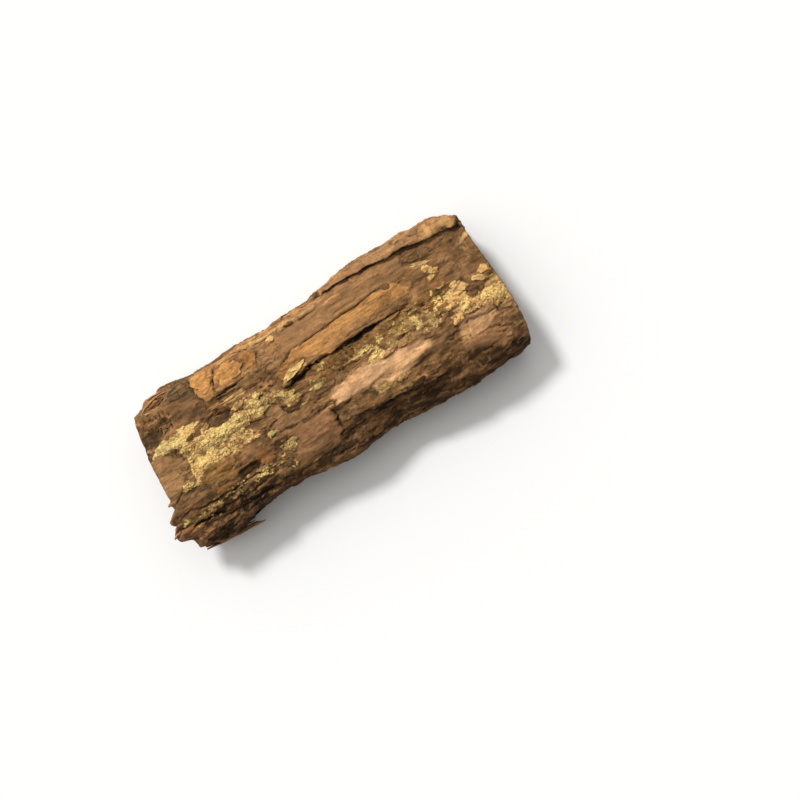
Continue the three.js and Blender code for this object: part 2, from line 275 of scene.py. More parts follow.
drawnCracks = [  # paths that leave the grain: points, depth and half width
    ([(-9.5, -9.6), (-4.6, -7.6), (-3.4, -8.2)], 0.9, 0.4),
    ([(-6.2, -11.6), (-5.8, -16), (-7, -20), (-8, -23.4)], 0.9, 0.4),
    ([(-51.6, 30.4), (-52.6, 26), (-51.4, 21), (-51.8, 15.6)], 0.7, 0.4),
    ([(-44.5, 19.8), (-43.2, 23.6), (-41.2, 27), (-40, 30.4)], 0.9, 0.45),
    ([(-31.4, 20.4), (-30.6, 24), (-31.6, 27.4)], 0.5, 0.35),
    ([(-23.6, 20), (-22.6, 24.4), (-24, 28)], 0.5, 0.35),
    ([(-14.6, 16), (-14.2, 20.4), (-15.4, 26)], 0.4, 0.4),
    ([(-69.4, 25), (-68.8, 21), (-70.4, 16.4)], 1.0, 0.45),
    ([(-66.4, 24.6), (-66, 20.6), (-67.4, 17)], 0.7, 0.4),
    ([(-71.6, 23.6), (-71.8, 19.4), (-73.2, 16.2)], 0.7, 0.4),
    ([(-70, 9.4), (-69.4, 3), (-71.6, -2.4), (-76, -7.6), (-80.6, -11)], 0.7, 0.4),
    ([(-31.2, 3), (-31, -2.2), (-33.4, -5.4)], 0.5, 0.35),
    ([(-24, 3.4), (-23.2, -2), (-18, -3.2), (-14.6, 0.4)], 0.6, 0.35),
    ([(-36.4, -9.2), (-35.2, -12.4), (-30.4, -13.4)], 0.5, 0.35),
    ([(72.4, -9.8), (73.4, -13.4), (72.2, -16)], 0.6, 0.4),
    ([(59.6, -8), (57.4, -12), (58.4, -17)], 0.5, 0.4),
]
lineEndFade = 5.0
ledgeSoftness = 0.3
swells = [  # raised plates and sunken places: middle, half size and rise
    ((-72, 32), (10, 6.5), -1.1), ((-58.5, 24), (7, 9), 0.6), ((-75.5, 20.5), (5.5, 6), -0.7),
    ((-47.5, 24), (5, 7), 0.5), ((-36.5, 24), (7, 4), 0.5), ((-77, 0), (6.5, 9), 0.5),
    ((-44, 5.5), (9, 3.4), 0.5), ((-48.5, 11), (7, 3.6), -0.8), ((-47.5, -13.6), (6.5, 2.8), -0.9),
    ((-51, -10), (11, 5.5), 0.5), ((12, -6.5), (14, 5), 0.8), ((-19, -16), (12, 7), 0.5),
    ((-70, -30), (18, 3.8), 2.0), ((68, -5), (12.5, 4.8), 0.7), ((66, 19), (15, 8), -0.5),
    ((-20, 38), (22, 4), 0.9), ((52, -29), (20, 4.5), 0.8),
]
splinterFlare = {"fromX": -84.0, "tipX": -60.0, "tipLength": 9.0, "across": -40.5, "half": 3.4,
    "rise": 2.2}
ripples = [(46, 8.5, 1.1, 3), (17, 4.6, 0.75, 11), (7, 3.4, 0.4, 29)]
insideRipples = [(60, 7, 0.7, 41), (22, 4.2, 0.35, 47), (30, 1.6, 0.16, 53), (11, 0.9, 0.08, 59)]


def rippleHeight(waves, x, across):
    # each wave is noise stretched along the grain, times its height
    return sum(height * noise(x / along, across / width, seed) for along, width, height, seed in waves)


bendSteps = [(9, 4.5, 0.8, 301), (3.4, 2.2, 0.5, 307), (1.5, 1.1, 0.3, 311), (0.7, 0.6, 0.14, 313)]


def bend(x, across):
    # pushes points about by noise at four sizes, so that no edge on the bark runs straight
    bentX = x.copy()
    bentA = across.copy()
    for along, width, shift, seed in bendSteps:
        bentX += 1.5 * shift * noise(x / along, across / width, seed)
        bentA += shift * noise(x / along, across / width, seed + 1)
    return bentX, bentA


def pathDistance(x, across, points):
    # distance from each point to the nearest stretch of a path
    best = np.full(x.shape, 1e9)
    for (x0, a0), (x1, a1) in zip(points, points[1:]):
        dx, da = x1 - x0, a1 - a0
        along = np.clip(((x - x0) * dx + (across - a0) * da) / (dx * dx + da * da), 0, 1)
        best = np.minimum(best, np.hypot(x - x0 - along * dx, across - a0 - along * da))
    return best


def lineFade(line, x):
    # 1 along a line and 0 past its ends
    return smooth((x - line[0][0]) / lineEndFade) * smooth((line[-1][0] - x) / lineEndFade)


def broadRelief(x, across, bentX, bentA):
    # waves, plus ledges that rise at a line and sink back, plus rounded grooves, swells and the splinter
    total = rippleHeight(ripples, x, across)
    for _, line, rise, reach in ledges:
        past = bentA - readLine(line, bentX)
        step = smooth(0.5 + past / (2 * ledgeSoftness))
        total += rise * lineFade(line, x) * step * np.exp(-np.maximum(past, 0) / reach)
    deeper = 0.75 + 0.5 * noise(x / 2.6, across / 5, 93)
    for _, line, depth, half in cracks:
        off = (bentA - readLine(line, bentX)) / (half * (0.8 + 0.5 * noise(x / 3.4, across / 9, 97)))
        total -= depth * deeper * lineFade(line, x) * np.exp(-off * off)
    for points, depth, half in drawnCracks:
        off = pathDistance(bentX, bentA, points) / half
        total -= depth * deeper * np.exp(-off * off)
    for (midX, midA), (halfX, halfA), rise in swells:
        away = np.hypot((bentX - midX) / halfX, (bentA - midA) / halfA)
        total += rise * smooth((1 - away) / 0.3)
    flare = splinterFlare
    width = np.clip(1 - np.abs(across - flare["across"]) / flare["half"], 0, 1)
    grow = smooth((x - flare["fromX"]) / (flare["tipX"] - flare["fromX"]))
    total += flare["rise"] * width * grow * np.clip((flare["tipX"] - x) / flare["tipLength"] + 0.5, 0, 1)
    return total


# Colours, given as screen values
tones = {
    "brown": tone(130, 97, 63),
    "greyBrown": tone(148, 112, 75),
    "tan": tone(163, 125, 87),
    "tanLight": tone(172, 132, 91),
    "darkPlate": tone(104, 78, 52),
    "columnBrown": tone(90, 68, 43),
    # deep: the bark's own dark brown, also used as painted shade along cracks and edges
    "deep": tone(58, 41, 22),
    # slit: near black, painted shadow in slits and gaps and under raised edges
    "slit": tone(38, 26, 12),
    "greenDark": tone(86, 71, 45),
    "olive": tone(142, 113, 66),
    "oliveLight": tone(176, 147, 94),
    "lichen": tone(200, 176, 120),
    "lichenWarm": tone(240, 202, 132),
    "yellow": tone(255, 226, 148),
    "cream": tone(238, 190, 126),
    "chip": tone(204, 166, 108),
    "orange": tone(188, 138, 82),
    "ochre": tone(166, 117, 68),
    "ochreBrown": tone(142, 105, 58),
    "pinkLight": tone(238, 190, 142),
    "pinkRight": tone(234, 184, 134),
    "pinkBrown": tone(158, 117, 82),
    "redBrown": tone(150, 106, 75),
    "redDark": tone(112, 78, 53),
    "fibre": tone(174, 130, 90),
    "strip": tone(190, 144, 94),
    # the flank tones: the flank's dark bark, darkened further as painted shade for the side turned away from
    # the light
    "flank": tone(76, 54, 32),
    "flankDark": tone(57, 40, 23),
}
# Each zone is an outline in (x, across), with its tone, its rise, the share of it that is covered
# (a crust leaves gaps) and how calm, or smooth, it is
zones = [
    ("left ground", "brown", [(-92, -50), (-92, 50), (-18, 50), (-18, -50)], 0, 1, 0),
    ("middle ground", "greyBrown", [(-34, -12), (-34, 16), (50, 16), (50, -12)], 0, 1, 0.1),
    ("right field", "brown", [(48, 8), (48, 31), (86, 29), (86, 8)], 0, 1, 0.6),
    ("north side", "fibre", [(-60, 29.5), (-60, 50), (86, 50), (86, 29), (50, 31), (10, 28.6),
     (-20, 28.4), (-42, 29)], 0, 1, 0.1),
    ("north strip", "strip", [(-50, 29.6), (-49, 35), (-4, 36), (4, 31), (-4, 28.8), (-20, 28.6),
     (-38, 29)], 0.1, 1, 0),
    ("north flank", "darkPlate", [(-90, 37.5), (-90, 50), (86, 50), (86, 40), (20, 39),
     (-40, 36.6)], 0, 1, 0.1),
    ("torn corner", "pinkBrown", [(-80, 25.5), (-79, 36), (-60, 37), (-60.6, 31.6), (-66, 28),
     (-72, 26.4)], 0, 1, 0),
    ("dark column", "columnBrown", [(-83, 14), (-81, 25.6), (-74, 25), (-72, 20), (-73, 15.5),
     (-77, 13.6)], 0, 1, 0),
    ("wrinkled brown", "brown", [(-73, 15.6), (-74, 25), (-70, 27.5), (-64, 28), (-64.6, 15.6)], 0, 1, 0),
    ("dark plate", "darkPlate", [(-66, 15.5), (-65, 24), (-62, 27), (-52, 27), (-50.8, 22), (-52.5, 15),
     (-60, 13.8)], 0.4, 1, 0.7),
    ("green top", "greenDark", [(-63, 27), (-61, 36), (-50, 36), (-49.6, 31), (-51, 26.5),
     (-57, 25.6)], 0, 1, 0.3),
    ("orange flake", "orange", [(-51.4, 22), (-52.4, 26), (-50.6, 31), (-47, 34), (-41, 34),
     (-40.4, 29), (-43.6, 24.4),
                                (-44.4, 20), (-44.4, 15.2), (-47, 14.4), (-50.8, 15.4),
                                 (-50.6, 18.6)], 0.5, 1, 0.6),
    ("flake top", "ochre", [(-53, 26.6), (-51, 31), (-47, 36), (-40, 36), (-40, 29.6),
     (-46, 27.6)], 0, 1, 0.5),
    ("second flake", "orange", [(-44.2, 20.6), (-42.2, 24.4), (-40.4, 27.6), (-35, 28.2), (-31.4, 27),
     (-30.6, 24),
                                (-31.6, 20.8), (-36, 20), (-40, 20.2)], 0.45, 1, 0.5),
    ("flake shade", "brown", [(-44, 21.2), (-42.6, 23), (-39.4, 23.4), (-37.4, 22.4),
     (-39.6, 21)], 0, 1, 0.5),
    ("third flake", "ochre", [(-31, 20.2), (-30.4, 26.6), (-27, 28.4), (-22.8, 27.6), (-21.8, 23),
     (-23.4, 19.4), (-27, 18)], 0.3, 1, 0.4),
    ("flake shade 2", "darkPlate", [(-34, 20.4), (-31.4, 24.4), (-27.4, 25), (-26, 22.6),
     (-28.4, 20.2)], 0, 1, 0.3),
    ("flake edge", "orange", [(-29.4, 27.6), (-25, 27.2), (-22.6, 23), (-22, 20.8), (-23.8, 20.6),
     (-25.2, 24), (-28, 26)], 0.2, 0.8, 0.4),
    ("grey patch", "greyBrown", [(-24, 17), (-24, 29), (-13.6, 29.4), (-12.6, 16)], 0, 1, 0.4),
    ("dark wrinkles", "darkPlate", [(-33, 15.6), (-28, 18.6), (-21.6, 20.4), (-19.4, 18),
     (-22, 15.4)], 0, 0.85, 0),
    ("grey facet", "greyBrown", [(-13, 19), (-12.6, 27.4), (2, 28.4), (22, 30), (50, 31), (50, 22.6),
     (22, 21), (4, 20), (-8, 19)], 0.2, 1, 0.85),
    ("pale chip", "chip", [(-16, 26.6), (-15.4, 30), (-12.6, 30), (-12.4, 27)], 0.3, 1, 0.5),
    ("ochre strip", "ochre", [(-20.5, 8.6), (-19, 14.6), (-15, 16), (-10, 19), (-4, 19), (-4, 12.6),
     (-8, 12.8), (-13, 12)], 0.1, 1, 0.5),
    ("orange strip", "orange", [(-13, 16), (-10, 19), (4, 19.8), (22, 20.8), (40, 21.6), (47, 15),
     (40, 12.4), (22, 12.6),
                                (8, 11.4), (2, 10.6), (-4, 13), (-10, 14.6)], 0.2, 1, 0.7),
    ("strip shade", "brown", [(9, 11.2), (9, 12.4), (22, 15), (44, 13.4), (44, 10.4),
     (22, 11.6)], 0, 1, 0.4),
    ("layered brown", "brown", [(-52, 13.6), (-50, 18.4), (-31, 19.4), (-24, 16.4), (-20, 14.4),
     (-30, 12.6), (-42, 12.6)], 0, 1, 0),
    ("pale streak", "chip", [(-43.8, 14.2), (-42, 15.5), (-35.6, 15.5), (-33, 14.4),
     (-38, 13.8)], 0.25, 1, 0.3),
    ("yellow streak", "chip", [(-33, 13.2), (-30, 14.6), (-24, 14.4), (-26, 13)], 0.2, 0.8, 0.2),
    ("mottled ground", "fibre", [(-42, 3.4), (-43, 12.8), (-22, 13.6), (-17.6, 8.6), (-20, 3),
     (-31, 3)], 0, 1, 0),
    ("mottled crust", "lichenWarm", [(-43, 6), (-41, 12.4), (-30, 12.2), (-26, 9),
     (-31, 5)], 0.2, 0.55, 0),
    ("left crust", "lichen", [(-81, 7.4), (-80.6, 11), (-77.6, 13.2), (-74, 14.4), (-68, 13.2),
     (-64, 14.4), (-60, 13.4),
                              (-57, 13.8), (-55, 10.4), (-57, 7.4), (-64, 6.8), (-70, 8.8),
                               (-76, 9)], 0.2, 0.9, 0.1),
    ("left crust, warm", "lichenWarm", [(-67, 6.6), (-65, 15), (-58, 14), (-54.4, 9),
     (-58, 6.8)], 0.1, 0.86, 0.1),
    ("edge shade", "deep", [(-84, 8.4), (-83, 14.2), (-78.4, 14), (-77.4, 12.4),
     (-79.6, 8.6)], 0, 0.85, 0),
    ("granular ground", "chip", [(-69, -5.4), (-69.6, 4), (-67.6, 8.6), (-50, 8.6), (-42, 7), (-40, 2),
     (-46, -5), (-58, -5.6)], 0, 1, 0),
    ("granular crust", "lichenWarm", [(-69, -3.4), (-68.6, 4), (-67, 8.8), (-58, 8.4), (-50, 8.8),
     (-42, 7), (-40, 2), (-46, -4.6), (-58, -5.4)], 0.28, 0.74, 0),
    ("bright crust", "yellow", [(-58, 5.4), (-50.4, 8), (-42, 8.6), (-35.4, 7), (-36, 2.4), (-44, 0),
     (-52, -1), (-60, 1)], 0.5, 0.915, 0.2),
    ("dark scar", "columnBrown", [(-57.4, 12.6), (-55, 14.8), (-50, 13.6), (-42, 11.4), (-41.6, 8.6),
     (-45, 7.2), (-50, 7.4), (-54.6, 9.4)], -0.3, 1, 0.5),
    # painted shadow in the slit under the scar's raised edge
    ("scar slit", "slit", [(-51.6, 12.9), (-47, 12.4), (-42.4, 10.9), (-43, 10.1), (-47.4, 11.1),
     (-51.4, 11.9)], 0, 1, 0.5),
    ("curled chip", "chip", [(-41.6, 9.6), (-41, 11.4), (-38, 11.9), (-36.4, 10.6),
     (-38, 9.2)], 0.4, 1, 0.3),
    ("tan plate", "tanLight", [(-88, -10), (-86, 7.6), (-76, 9.4), (-71, 6), (-69.4, 2), (-71.4, -2.6),
     (-76, -7.4), (-81, -11)], 0.35, 1, 0.9),
    ("crust below", "lichenWarm", [(-77, -8), (-74, -5.2), (-69, -3.2), (-66.4, -4), (-66, -8),
     (-70, -9.4)], 0.2, 0.66, 0),
    ("tan brown", "ochreBrown", [(-68, -10), (-66, -4.6), (-58, -5.8), (-49, -5.2), (-47, -9.6),
     (-58, -9)], 0, 0.9, 0.2),
    ("pinkish ground", "strip", [(-52, -4.8), (-52.4, 1), (-44, 2.2), (-37, 1), (-36.4, -2),
     (-40, -4.8)], 0.1, 0.9, 0.3),
    ("ground crust", "lichenWarm", [(-52, -5.6), (-51, 0), (-44, 2.4), (-37.6, 1.4), (-36, -4),
     (-42, -6.4)], 0.2, 0.5, 0),
    ("crust east", "lichenWarm", [(-41, 1.6), (-39, 8), (-33, 8.8), (-27, 6.4), (-29, 3),
     (-35, 2.6)], 0.2, 0.75, 0),
    ("grey round patch", "greyBrown", [(-37.6, -1.6), (-36.8, 2.4), (-32, 2.6), (-31.2, -1.4),
     (-34, -3)], 0.15, 1, 0.5),
    ("tan pink", "greyBrown", [(-49, -9.2), (-47, -5), (-42, -5), (-41, -9.2)], 0, 1, 0.4),
    ("dark mottle", "darkPlate", [(-43, -9.4), (-41, -3.6), (-31, -4), (-30.6, -5.6), (-35, -6.6),
     (-38, -10)], 0, 0.9, 0.2),
    ("pale fleck", "lichen", [(-34.8, -7), (-34, -5), (-30.2, -5.4), (-30.4, -7.2)], 0.2, 0.9, 0.2),
    ("mottled yellow", "oliveLight", [(-31, 3), (-30.6, 9), (-22, 8), (-16, 4.6), (-14, 1), (-20, 1.4),
     (-24, 4)], 0.15, 0.5, 0),
    ("smooth pink", "tan", [(-31, -6.4), (-31, 2.6), (-24.4, 2.6), (-23.4, -2), (-18, -4),
     (-14, -7.4)], 0.1, 1, 0.75),
    ("crescent crust", "oliveLight", [(-22.6, 1), (-22.4, 5), (-17, 5), (-15.6, 1.6),
     (-19, -0.8)], 0.2, 0.8, 0),
    ("dark crescent", "deep", [(-24.4, 1.6), (-23.4, -2.4), (-19, -3), (-15, -0.4), (-10.8, 1),
     (-14, 0.9), (-18, -1), (-21, -0.8), (-22.4, 1.4)], -0.2, 1, 0.2),
    ("brown grey", "greyBrown", [(-18, -6.6), (-17, -2.4), (-8, -1.4), (-2.6, -3),
     (-4, -7.4)], 0, 1, 0.3),
    ("crust flake", "oliveLight", [(-10.4, 0.4), (-9.6, 4.6), (-5, 6.4), (-2.4, 4), (-3.2, 0.2),
     (-6, -0.6)], 0.25, 0.8, 0.1),
    ("long plate", "pinkBrown", [(-37, -25), (-36, -9.2), (-26, -8.8), (-7.6, -9.6), (-5.8, -14),
     (-7, -21), (-8, -25), (-22, -25.6)], 0.35, 1, 0.8),
    ("long plate, low", "brown", [(-37, -25.6), (-36, -17), (-28, -19.8), (-14, -21.4),
     (-9, -25.6)], 0, 0.8, 0.6),
    ("olive ground", "ochreBrown", [(-13, 6), (-6, 8.8), (0, 9.4), (22, 11), (48, 9.6), (50, 3),
     (24, 0.6), (12, 0.4), (-3, 2.2)], 0, 1, 0),
    ("olive crust", "olive", [(-6, 5), (0, 8.6), (22, 9.6), (46, 8.8), (50, 3), (24, 1),
     (10, 1.6)], 0.2, 0.6, 0),
    ("olive crust, pale", "oliveLight", [(-4, 5), (2, 7.6), (20, 8), (46, 7.6), (50, 3), (24, 1.6),
     (10, 2)], 0.25, 0.3, 0),
    # painted shadow under the middle plate's overhanging edge
    ("shadow under the plate", "slit", [(-19, 7.3), (-15, 8.5), (-10, 9.2), (-6, 9.9), (0, 10), (8, 10.6),
     (22, 11.8), (44, 9.6), (24, 9), (14, 8.6), (8, 8.4), (-2, 8.2), (-8, 6.9), (-14, 6.1),
     (-18, 6.4)], 0, 0.97, 0.2),
    ("yellow thread", "lichenWarm", [(8, 2.2), (8.6, 3.4), (15, 3.2), (15.4, 2.2)], 0.25, 0.9, 0),
    ("hidden crust", "oliveLight", [(24, -3.4), (28, 6), (52, 7), (58, 2), (50, -3.6)], 0.25, 0.5, 0),
    ("pink patch", "pinkLight", [(-3, -9.4), (-3.4, -6), (-0.6, -4.6), (5, -3.2), (12, -1.8),
     (20, -1.8), (25, -3), (40, -5), (44, -8), (26, -13), (14, -13.2), (4, -12.4)], 0.25, 1, 0.8),
    ("crust on pink", "lichenWarm", [(15, -2.2), (17, -0.8), (21, 1.4), (25, -0.4), (24, -3.4),
     (19, -3)], 0.25, 0.6, 0),
    ("lens flake", "chip", [(-17.8, 9.0), (-14.6, 11.2), (-11, 12.6), (-8, 12.2), (-5.8, 10.8),
     (-8, 10), (-12, 9.7)], 0.4, 1, 0.5),
    ("dark left", "columnBrown", [(-90, -16), (-82, -10), (-72, -8.6), (-66, -9.6), (-62, -12),
     (-62, -16.4)], 0, 1, 0.4),
    ("ochre ground", "ochreBrown", [(-64, -16), (-62, -9), (-54, -8.4), (-52, -11),
     (-54.6, -16)], 0.1, 1, 0.4),
    ("oval scar", "deep", [(-54.6, -13.6), (-52, -11.6), (-46, -11.3), (-41.4, -13), (-42, -15.6),
     (-46, -16.4), (-52, -16)], -0.2, 1, 0.6),
    ("ochre beside", "ochre", [(-43.6, -13), (-42.4, -9.8), (-38, -9.8), (-35.6, -13.4), (-38, -15.6),
     (-41.4, -15.6)], 0.15, 1, 0.5),
    ("brown beside", "brown", [(-36.6, -17), (-35, -9), (-28, -9), (-26, -15), (-29, -18)], 0, 0.8, 0),
    ("dotted crust", "oliveLight", [(-35, -16.6), (-33, -12), (-26, -11.6), (-25, -14.4),
     (-29, -17.4)], 0.25, 0.42, 0),
    ("band ground", "columnBrown", [(-83, -21), (-82, -15.6), (-62, -16.6), (-42, -16), (-28, -18),
     (-34, -23), (-60, -22)], 0, 1, 0),
    ("band crust", "olive", [(-83, -21), (-82, -15.4), (-62, -16.4), (-42, -15.8), (-28, -18),
     (-34, -23), (-60, -22)], 0.2, 0.5, 0),
    ("band pale", "oliveLight", [(-80, -20), (-79, -17), (-66, -17.4), (-62, -20)], 0.2, 0.4, 0),
    ("band pale 2", "oliveLight", [(-54, -18.6), (-50, -15.6), (-40, -16), (-34, -19.4),
     (-42, -20.4)], 0.2, 0.5, 0),
    ("band dark", "slit", [(-92, -25), (-86, -20.6), (-60, -21.6), (-38, -22.4), (-34, -26),
     (-60, -26)], 0, 1, 0),
    ("band flecks", "olive", [(-80, -25), (-78, -20.6), (-56, -21.6), (-38, -21.6), (-34, -25),
     (-60, -25.6)], 0.2, 0.3, 0),
    ("band shade", "slit", [(-68, -23.8), (-66, -20.6), (-63, -18.6), (-56, -18.4), (-50, -20.2),
     (-40, -20.8), (-38, -24), (-56, -25)], 0, 0.72, 0),
    ("end lumps", "redDark", [(-92, -27), (-92, -12), (-84, -11), (-81.6, -14), (-81.4, -27)], 0, 1, 0),
    # painted shade in the hollow above the lower strip
    ("black hollow", "slit", [(-68, -28.6), (-66, -23.6), (-50, -23.2), (-38, -24.2), (-34, -29.4),
     (-50, -30), (-60, -29.4)], 0, 1, 0.3),
    ("mottled south", "darkPlate", [(-41, -24.5), (-38, -19.6), (-30, -19), (-31, -24.5)], 0, 0.8, 0),
    ("south brown", "brown", [(-8.6, -25), (-6.8, -11), (-2, -9.8), (4, -10.8), (13, -12), (13, -16.6),
     (0, -17)], -0.1, 1, 0.3),
    ("south bumps", "tan", [(-6, -17), (-4, -13.6), (1, -13.4), (2, -16.6)], 0.2, 0.5, 0.2),
    ("grey green spot", "greenDark", [(6, -15.2), (7, -11.8), (12, -11.2), (13.8, -14.8)], 0, 0.9, 0.2),
    ("pale south", "chip", [(13, -14.8), (14.4, -11.2), (19, -10.8), (25, -12.4), (36, -13.6),
     (34, -16.2), (22, -15.8)], 0.25, 0.72, 0),
    ("hidden south", "brown", [(27, -20), (30, -12), (56, -9.6), (57, -22)], 0, 1, 0.3),
    # the south flank and its dark parts: dark bark with painted shade, in the flank tones
    ("flank", "flank", [(-50, -28.6), (-36, -25.4), (-22, -25.8), (-9, -25), (-7, -18), (4, -16.6),
     (28, -17.8), (56, -23), (88, -24), (88, -50), (-50, -50)], 0, 1, 0.2),
    ("flank, dark", "flankDark", [(0, -30), (0, -18), (28, -18.6), (36, -23), (34, -31)], 0, 0.9, 0.5),
    # the lower strip and the lower rim: dark bark with painted shade, in the flank tones
    ("lower strip", "flankDark", [(-92, -23.6), (-80, -23.8), (-68, -26), (-60, -28), (-50, -29.6),
     (-48, -36), (-60, -50), (-92, -50)], 0, 1, 0),
    ("lower strip, light", "redDark", [(-84, -30), (-82, -24.6), (-74, -25.8), (-66, -29)], 0.1, 0.6, 0),
    ("lower rim", "flank", [(-92, -39), (-60, -37.6), (-53, -40), (-60, -50), (-92, -50)], 0, 1, 0.1),
    ("lip", "tan", [(10, 34.4), (30, 33.6), (52, 32), (60, 30.9), (72, 30.2), (88, 27.4), (88, 41),
     (10, 42)], 0.1, 1, 0.1),
    ("lip, light", "strip", [(60, 32), (62, 35), (80, 33), (82, 29.4), (72, 31.4)], 0.15, 0.6, 0),
    # painted shade under the raised lip
    ("under lip", "darkPlate", [(48, 25.6), (48, 31.6), (66, 29.8), (82, 27.4), (82, 26),
     (62, 26.4)], 0, 0.85, 0.1),
    ("lip shadow", "slit", [(66, 30), (72, 28.7), (84, 25.6), (84, 29), (72, 30.6)], 0, 1, 0),
    ("lip chip", "chip", [(60.6, 29), (61.6, 30.3), (67.8, 30), (67.4, 28.9)], 0.25, 0.9, 0.3),
    ("grey marks", "darkPlate", [(50, 23.4), (51, 25.2), (58, 24.8), (66, 24.6), (62, 22.6),
     (56, 22)], 0, 0.8, 0.2),
    ("field patch", "tan", [(60, 14), (62, 21), (72, 23), (78, 20), (77, 13), (68, 11)], 0, 0.4, 0.3),
    ("three lobes", "chip", [(53.8, 19), (54.4, 20.3), (56, 20.4), (57.4, 19.2), (58, 17.8),
     (59.9, 17.4), (60.2, 16), (58.6, 15.6),
                                   (58.2, 14.4), (56.4, 14), (54.6, 14.3), (54.6, 15.4), (56.4, 16.2),
                                    (56, 17.6)], 0.35, 0.97, 0.4),
    ("long lobe", "lichen", [(50.6, 22.4), (52.4, 23), (58.6, 21.4), (58.9, 20.8),
     (55, 21.2)], 0.3, 0.95, 0.3),
    ("tan lens", "chip", [(71.6, 17), (74, 18.6), (77.6, 18), (76.6, 16.2), (73, 15.8)], 0.15, 0.6, 0.2),
    ("tan lens 2", "chip", [(74.6, 21), (76, 24), (80, 23.6), (78.4, 20.6)], 0.15, 0.6, 0.2),
    ("yellow brown", "ochreBrown", [(48, 2), (50, 12), (58, 12.6), (62, 9), (60, 2)], 0, 1, 0.1),
    ("yellow brown crust", "lichenWarm", [(50, 2), (52, 10), (58, 12), (62, 9), (60, 1)], 0.25, 0.46, 0),
    ("red mark", "redBrown", [(54, 9.6), (55, 12), (58.6, 11.4), (59.4, 9.6)], 0, 0.9, 0.2),
    ("green dark right", "greenDark", [(63, 8.8), (66, 10.8), (71.6, 10), (70.4, 6.4),
     (66.4, 5.6)], -0.1, 0.95, 0.3),
    ("red right", "redBrown", [(64.6, 0.4), (65.4, 4.6), (69, 5.4), (70.6, 2), (68, -0.4)], 0.1, 1, 0.4),
    ("red right 2", "redBrown", [(70, 6), (72, 8.6), (75, 6), (77, 4.6), (75, 3.6)], 0, 0.9, 0.4),
    ("bright spot", "chip", [(60.4, 6.4), (61.4, 8.8), (64, 8.6), (66, 5.6), (66, 3.8), (63.8, 4),
     (62, 3.6)], 0.35, 0.97, 0.4),
    ("bright spot 2", "chip", [(70, 6.2), (71.6, 7), (75.2, 4), (74.8, 2.6), (72.4, 3)], 0.3, 0.97, 0.4),
    ("bright spot 3", "chip", [(73.4, 8.2), (76, 9), (78.6, 8), (78.4, 5.4),
     (75.4, 6.4)], 0.3, 0.97, 0.4),
    ("olive right", "chip", [(71, 0), (71.4, 2.6), (76, 4), (82, 5.4), (82, -1),
     (75, -2.4)], 0, 0.8, 0.1),
    ("lump ground", "tan", [(54, -7), (56, 1), (60, 4), (64, 2), (66, -1), (78, -2), (84, -2),
     (84, -10), (72, -9.4), (62, -8)], 0.1, 1, 0),
    ("lump crust", "cream", [(54, -7), (55, 1), (58, 5.6), (63, 4.6), (66.4, -1), (78, -1.6), (84, -3),
     (84, -11), (72, -9.8), (62, -8)], 0.35, 0.72, 0),
    ("right pink", "pinkRight", [(54, -15), (55, -7.4), (61, -5.6), (69, -7), (74, -10), (73, -12.8),
     (66, -14.8)], 0.25, 1, 0.8),
    ("right grey", "tan", [(71.6, -14.4), (72, -10), (84, -10.6), (84, -17), (76, -16)], 0, 1, 0.3),
    ("right low", "pinkBrown", [(52, -25), (53, -14.4), (66, -15.4), (80, -18.4),
     (84, -25)], 0.1, 1, 0.7),
    ("right low, shade", "flank", [(52, -27), (52, -18.4), (59, -19.4), (64, -22), (68, -24.6),
     (66, -27)], 0, 1, 0.5),
    ("right dark", "greenDark", [(72.6, -17), (74, -14.8), (79, -15.4), (79, -22),
     (74, -23)], 0, 0.9, 0.1),
    ("pale low", "tan", [(69.6, -22.8), (70.6, -20.6), (74, -21.4), (73.4, -24)], 0.15, 0.8, 0.2),
    ("shade low", "flankDark", [(54, -30), (54, -25.4), (66, -24.2), (88, -24.6), (88, -30)], 0, 1, 0.3),
]
# thin remains of other layers, strewn over every zone: tone, lengths of their noise, seed, share
# covered, strength, and how much of it a calm zone keeps
residues = [
    ("darkPlate", 7, 2.6, 501, 0.26, 0.55, 0.35),
    ("fibre", 8, 1.7, 507, 0.24, 0.5, 0.5),
    ("ochre", 5, 2.4, 509, 0.18, 0.4, 0.3),
    ("greyBrown", 5, 3.2, 513, 0.24, 0.4, 0.4),
    ("deep", 3.2, 0.9, 503, 0.12, 0.6, 0.15),
    ("oliveLight", 2.2, 1.5, 511, 0.06, 0.5, 0.1),
]
zoneEdge = 0.22  # half width of a zone's edge
softEdges = {"lip, light": 1.6, "pink patch": 1.5, "right pink": 1.3, "flank": 0.9, "flank, dark": 1.2,
    "field patch": 0.8, "right low": 0.9,
             "shade low": 1.4, "right low, shade": 1.6, "smooth pink": 0.6, "grey patch": 0.8,
              "south brown": 0.5, "tan brown": 0.7,
             "long plate, low": 0.9, "brown grey": 0.8, "shadow under the plate": 0.4, "olive ground": 0.6,
              "strip shade": 0.6}
crustTones = ("lichen", "lichenWarm", "yellow", "olive", "oliveLight", "cream")
crustNoise = {"along": 3.0, "width": 2.2, "seed": 521, "edge": 0.12, "spread": 1.1, "rise": 0.3,
              "stains": [(4.5, 2.6, 523, 0.24, 0.35, "fibre"), (3, 1.8, 527, 0.3, 0.6, "yellow")]}
shading = {"broad": 0.16, "streak": 0.13, "fine": 0.12, "speck": 0.08}
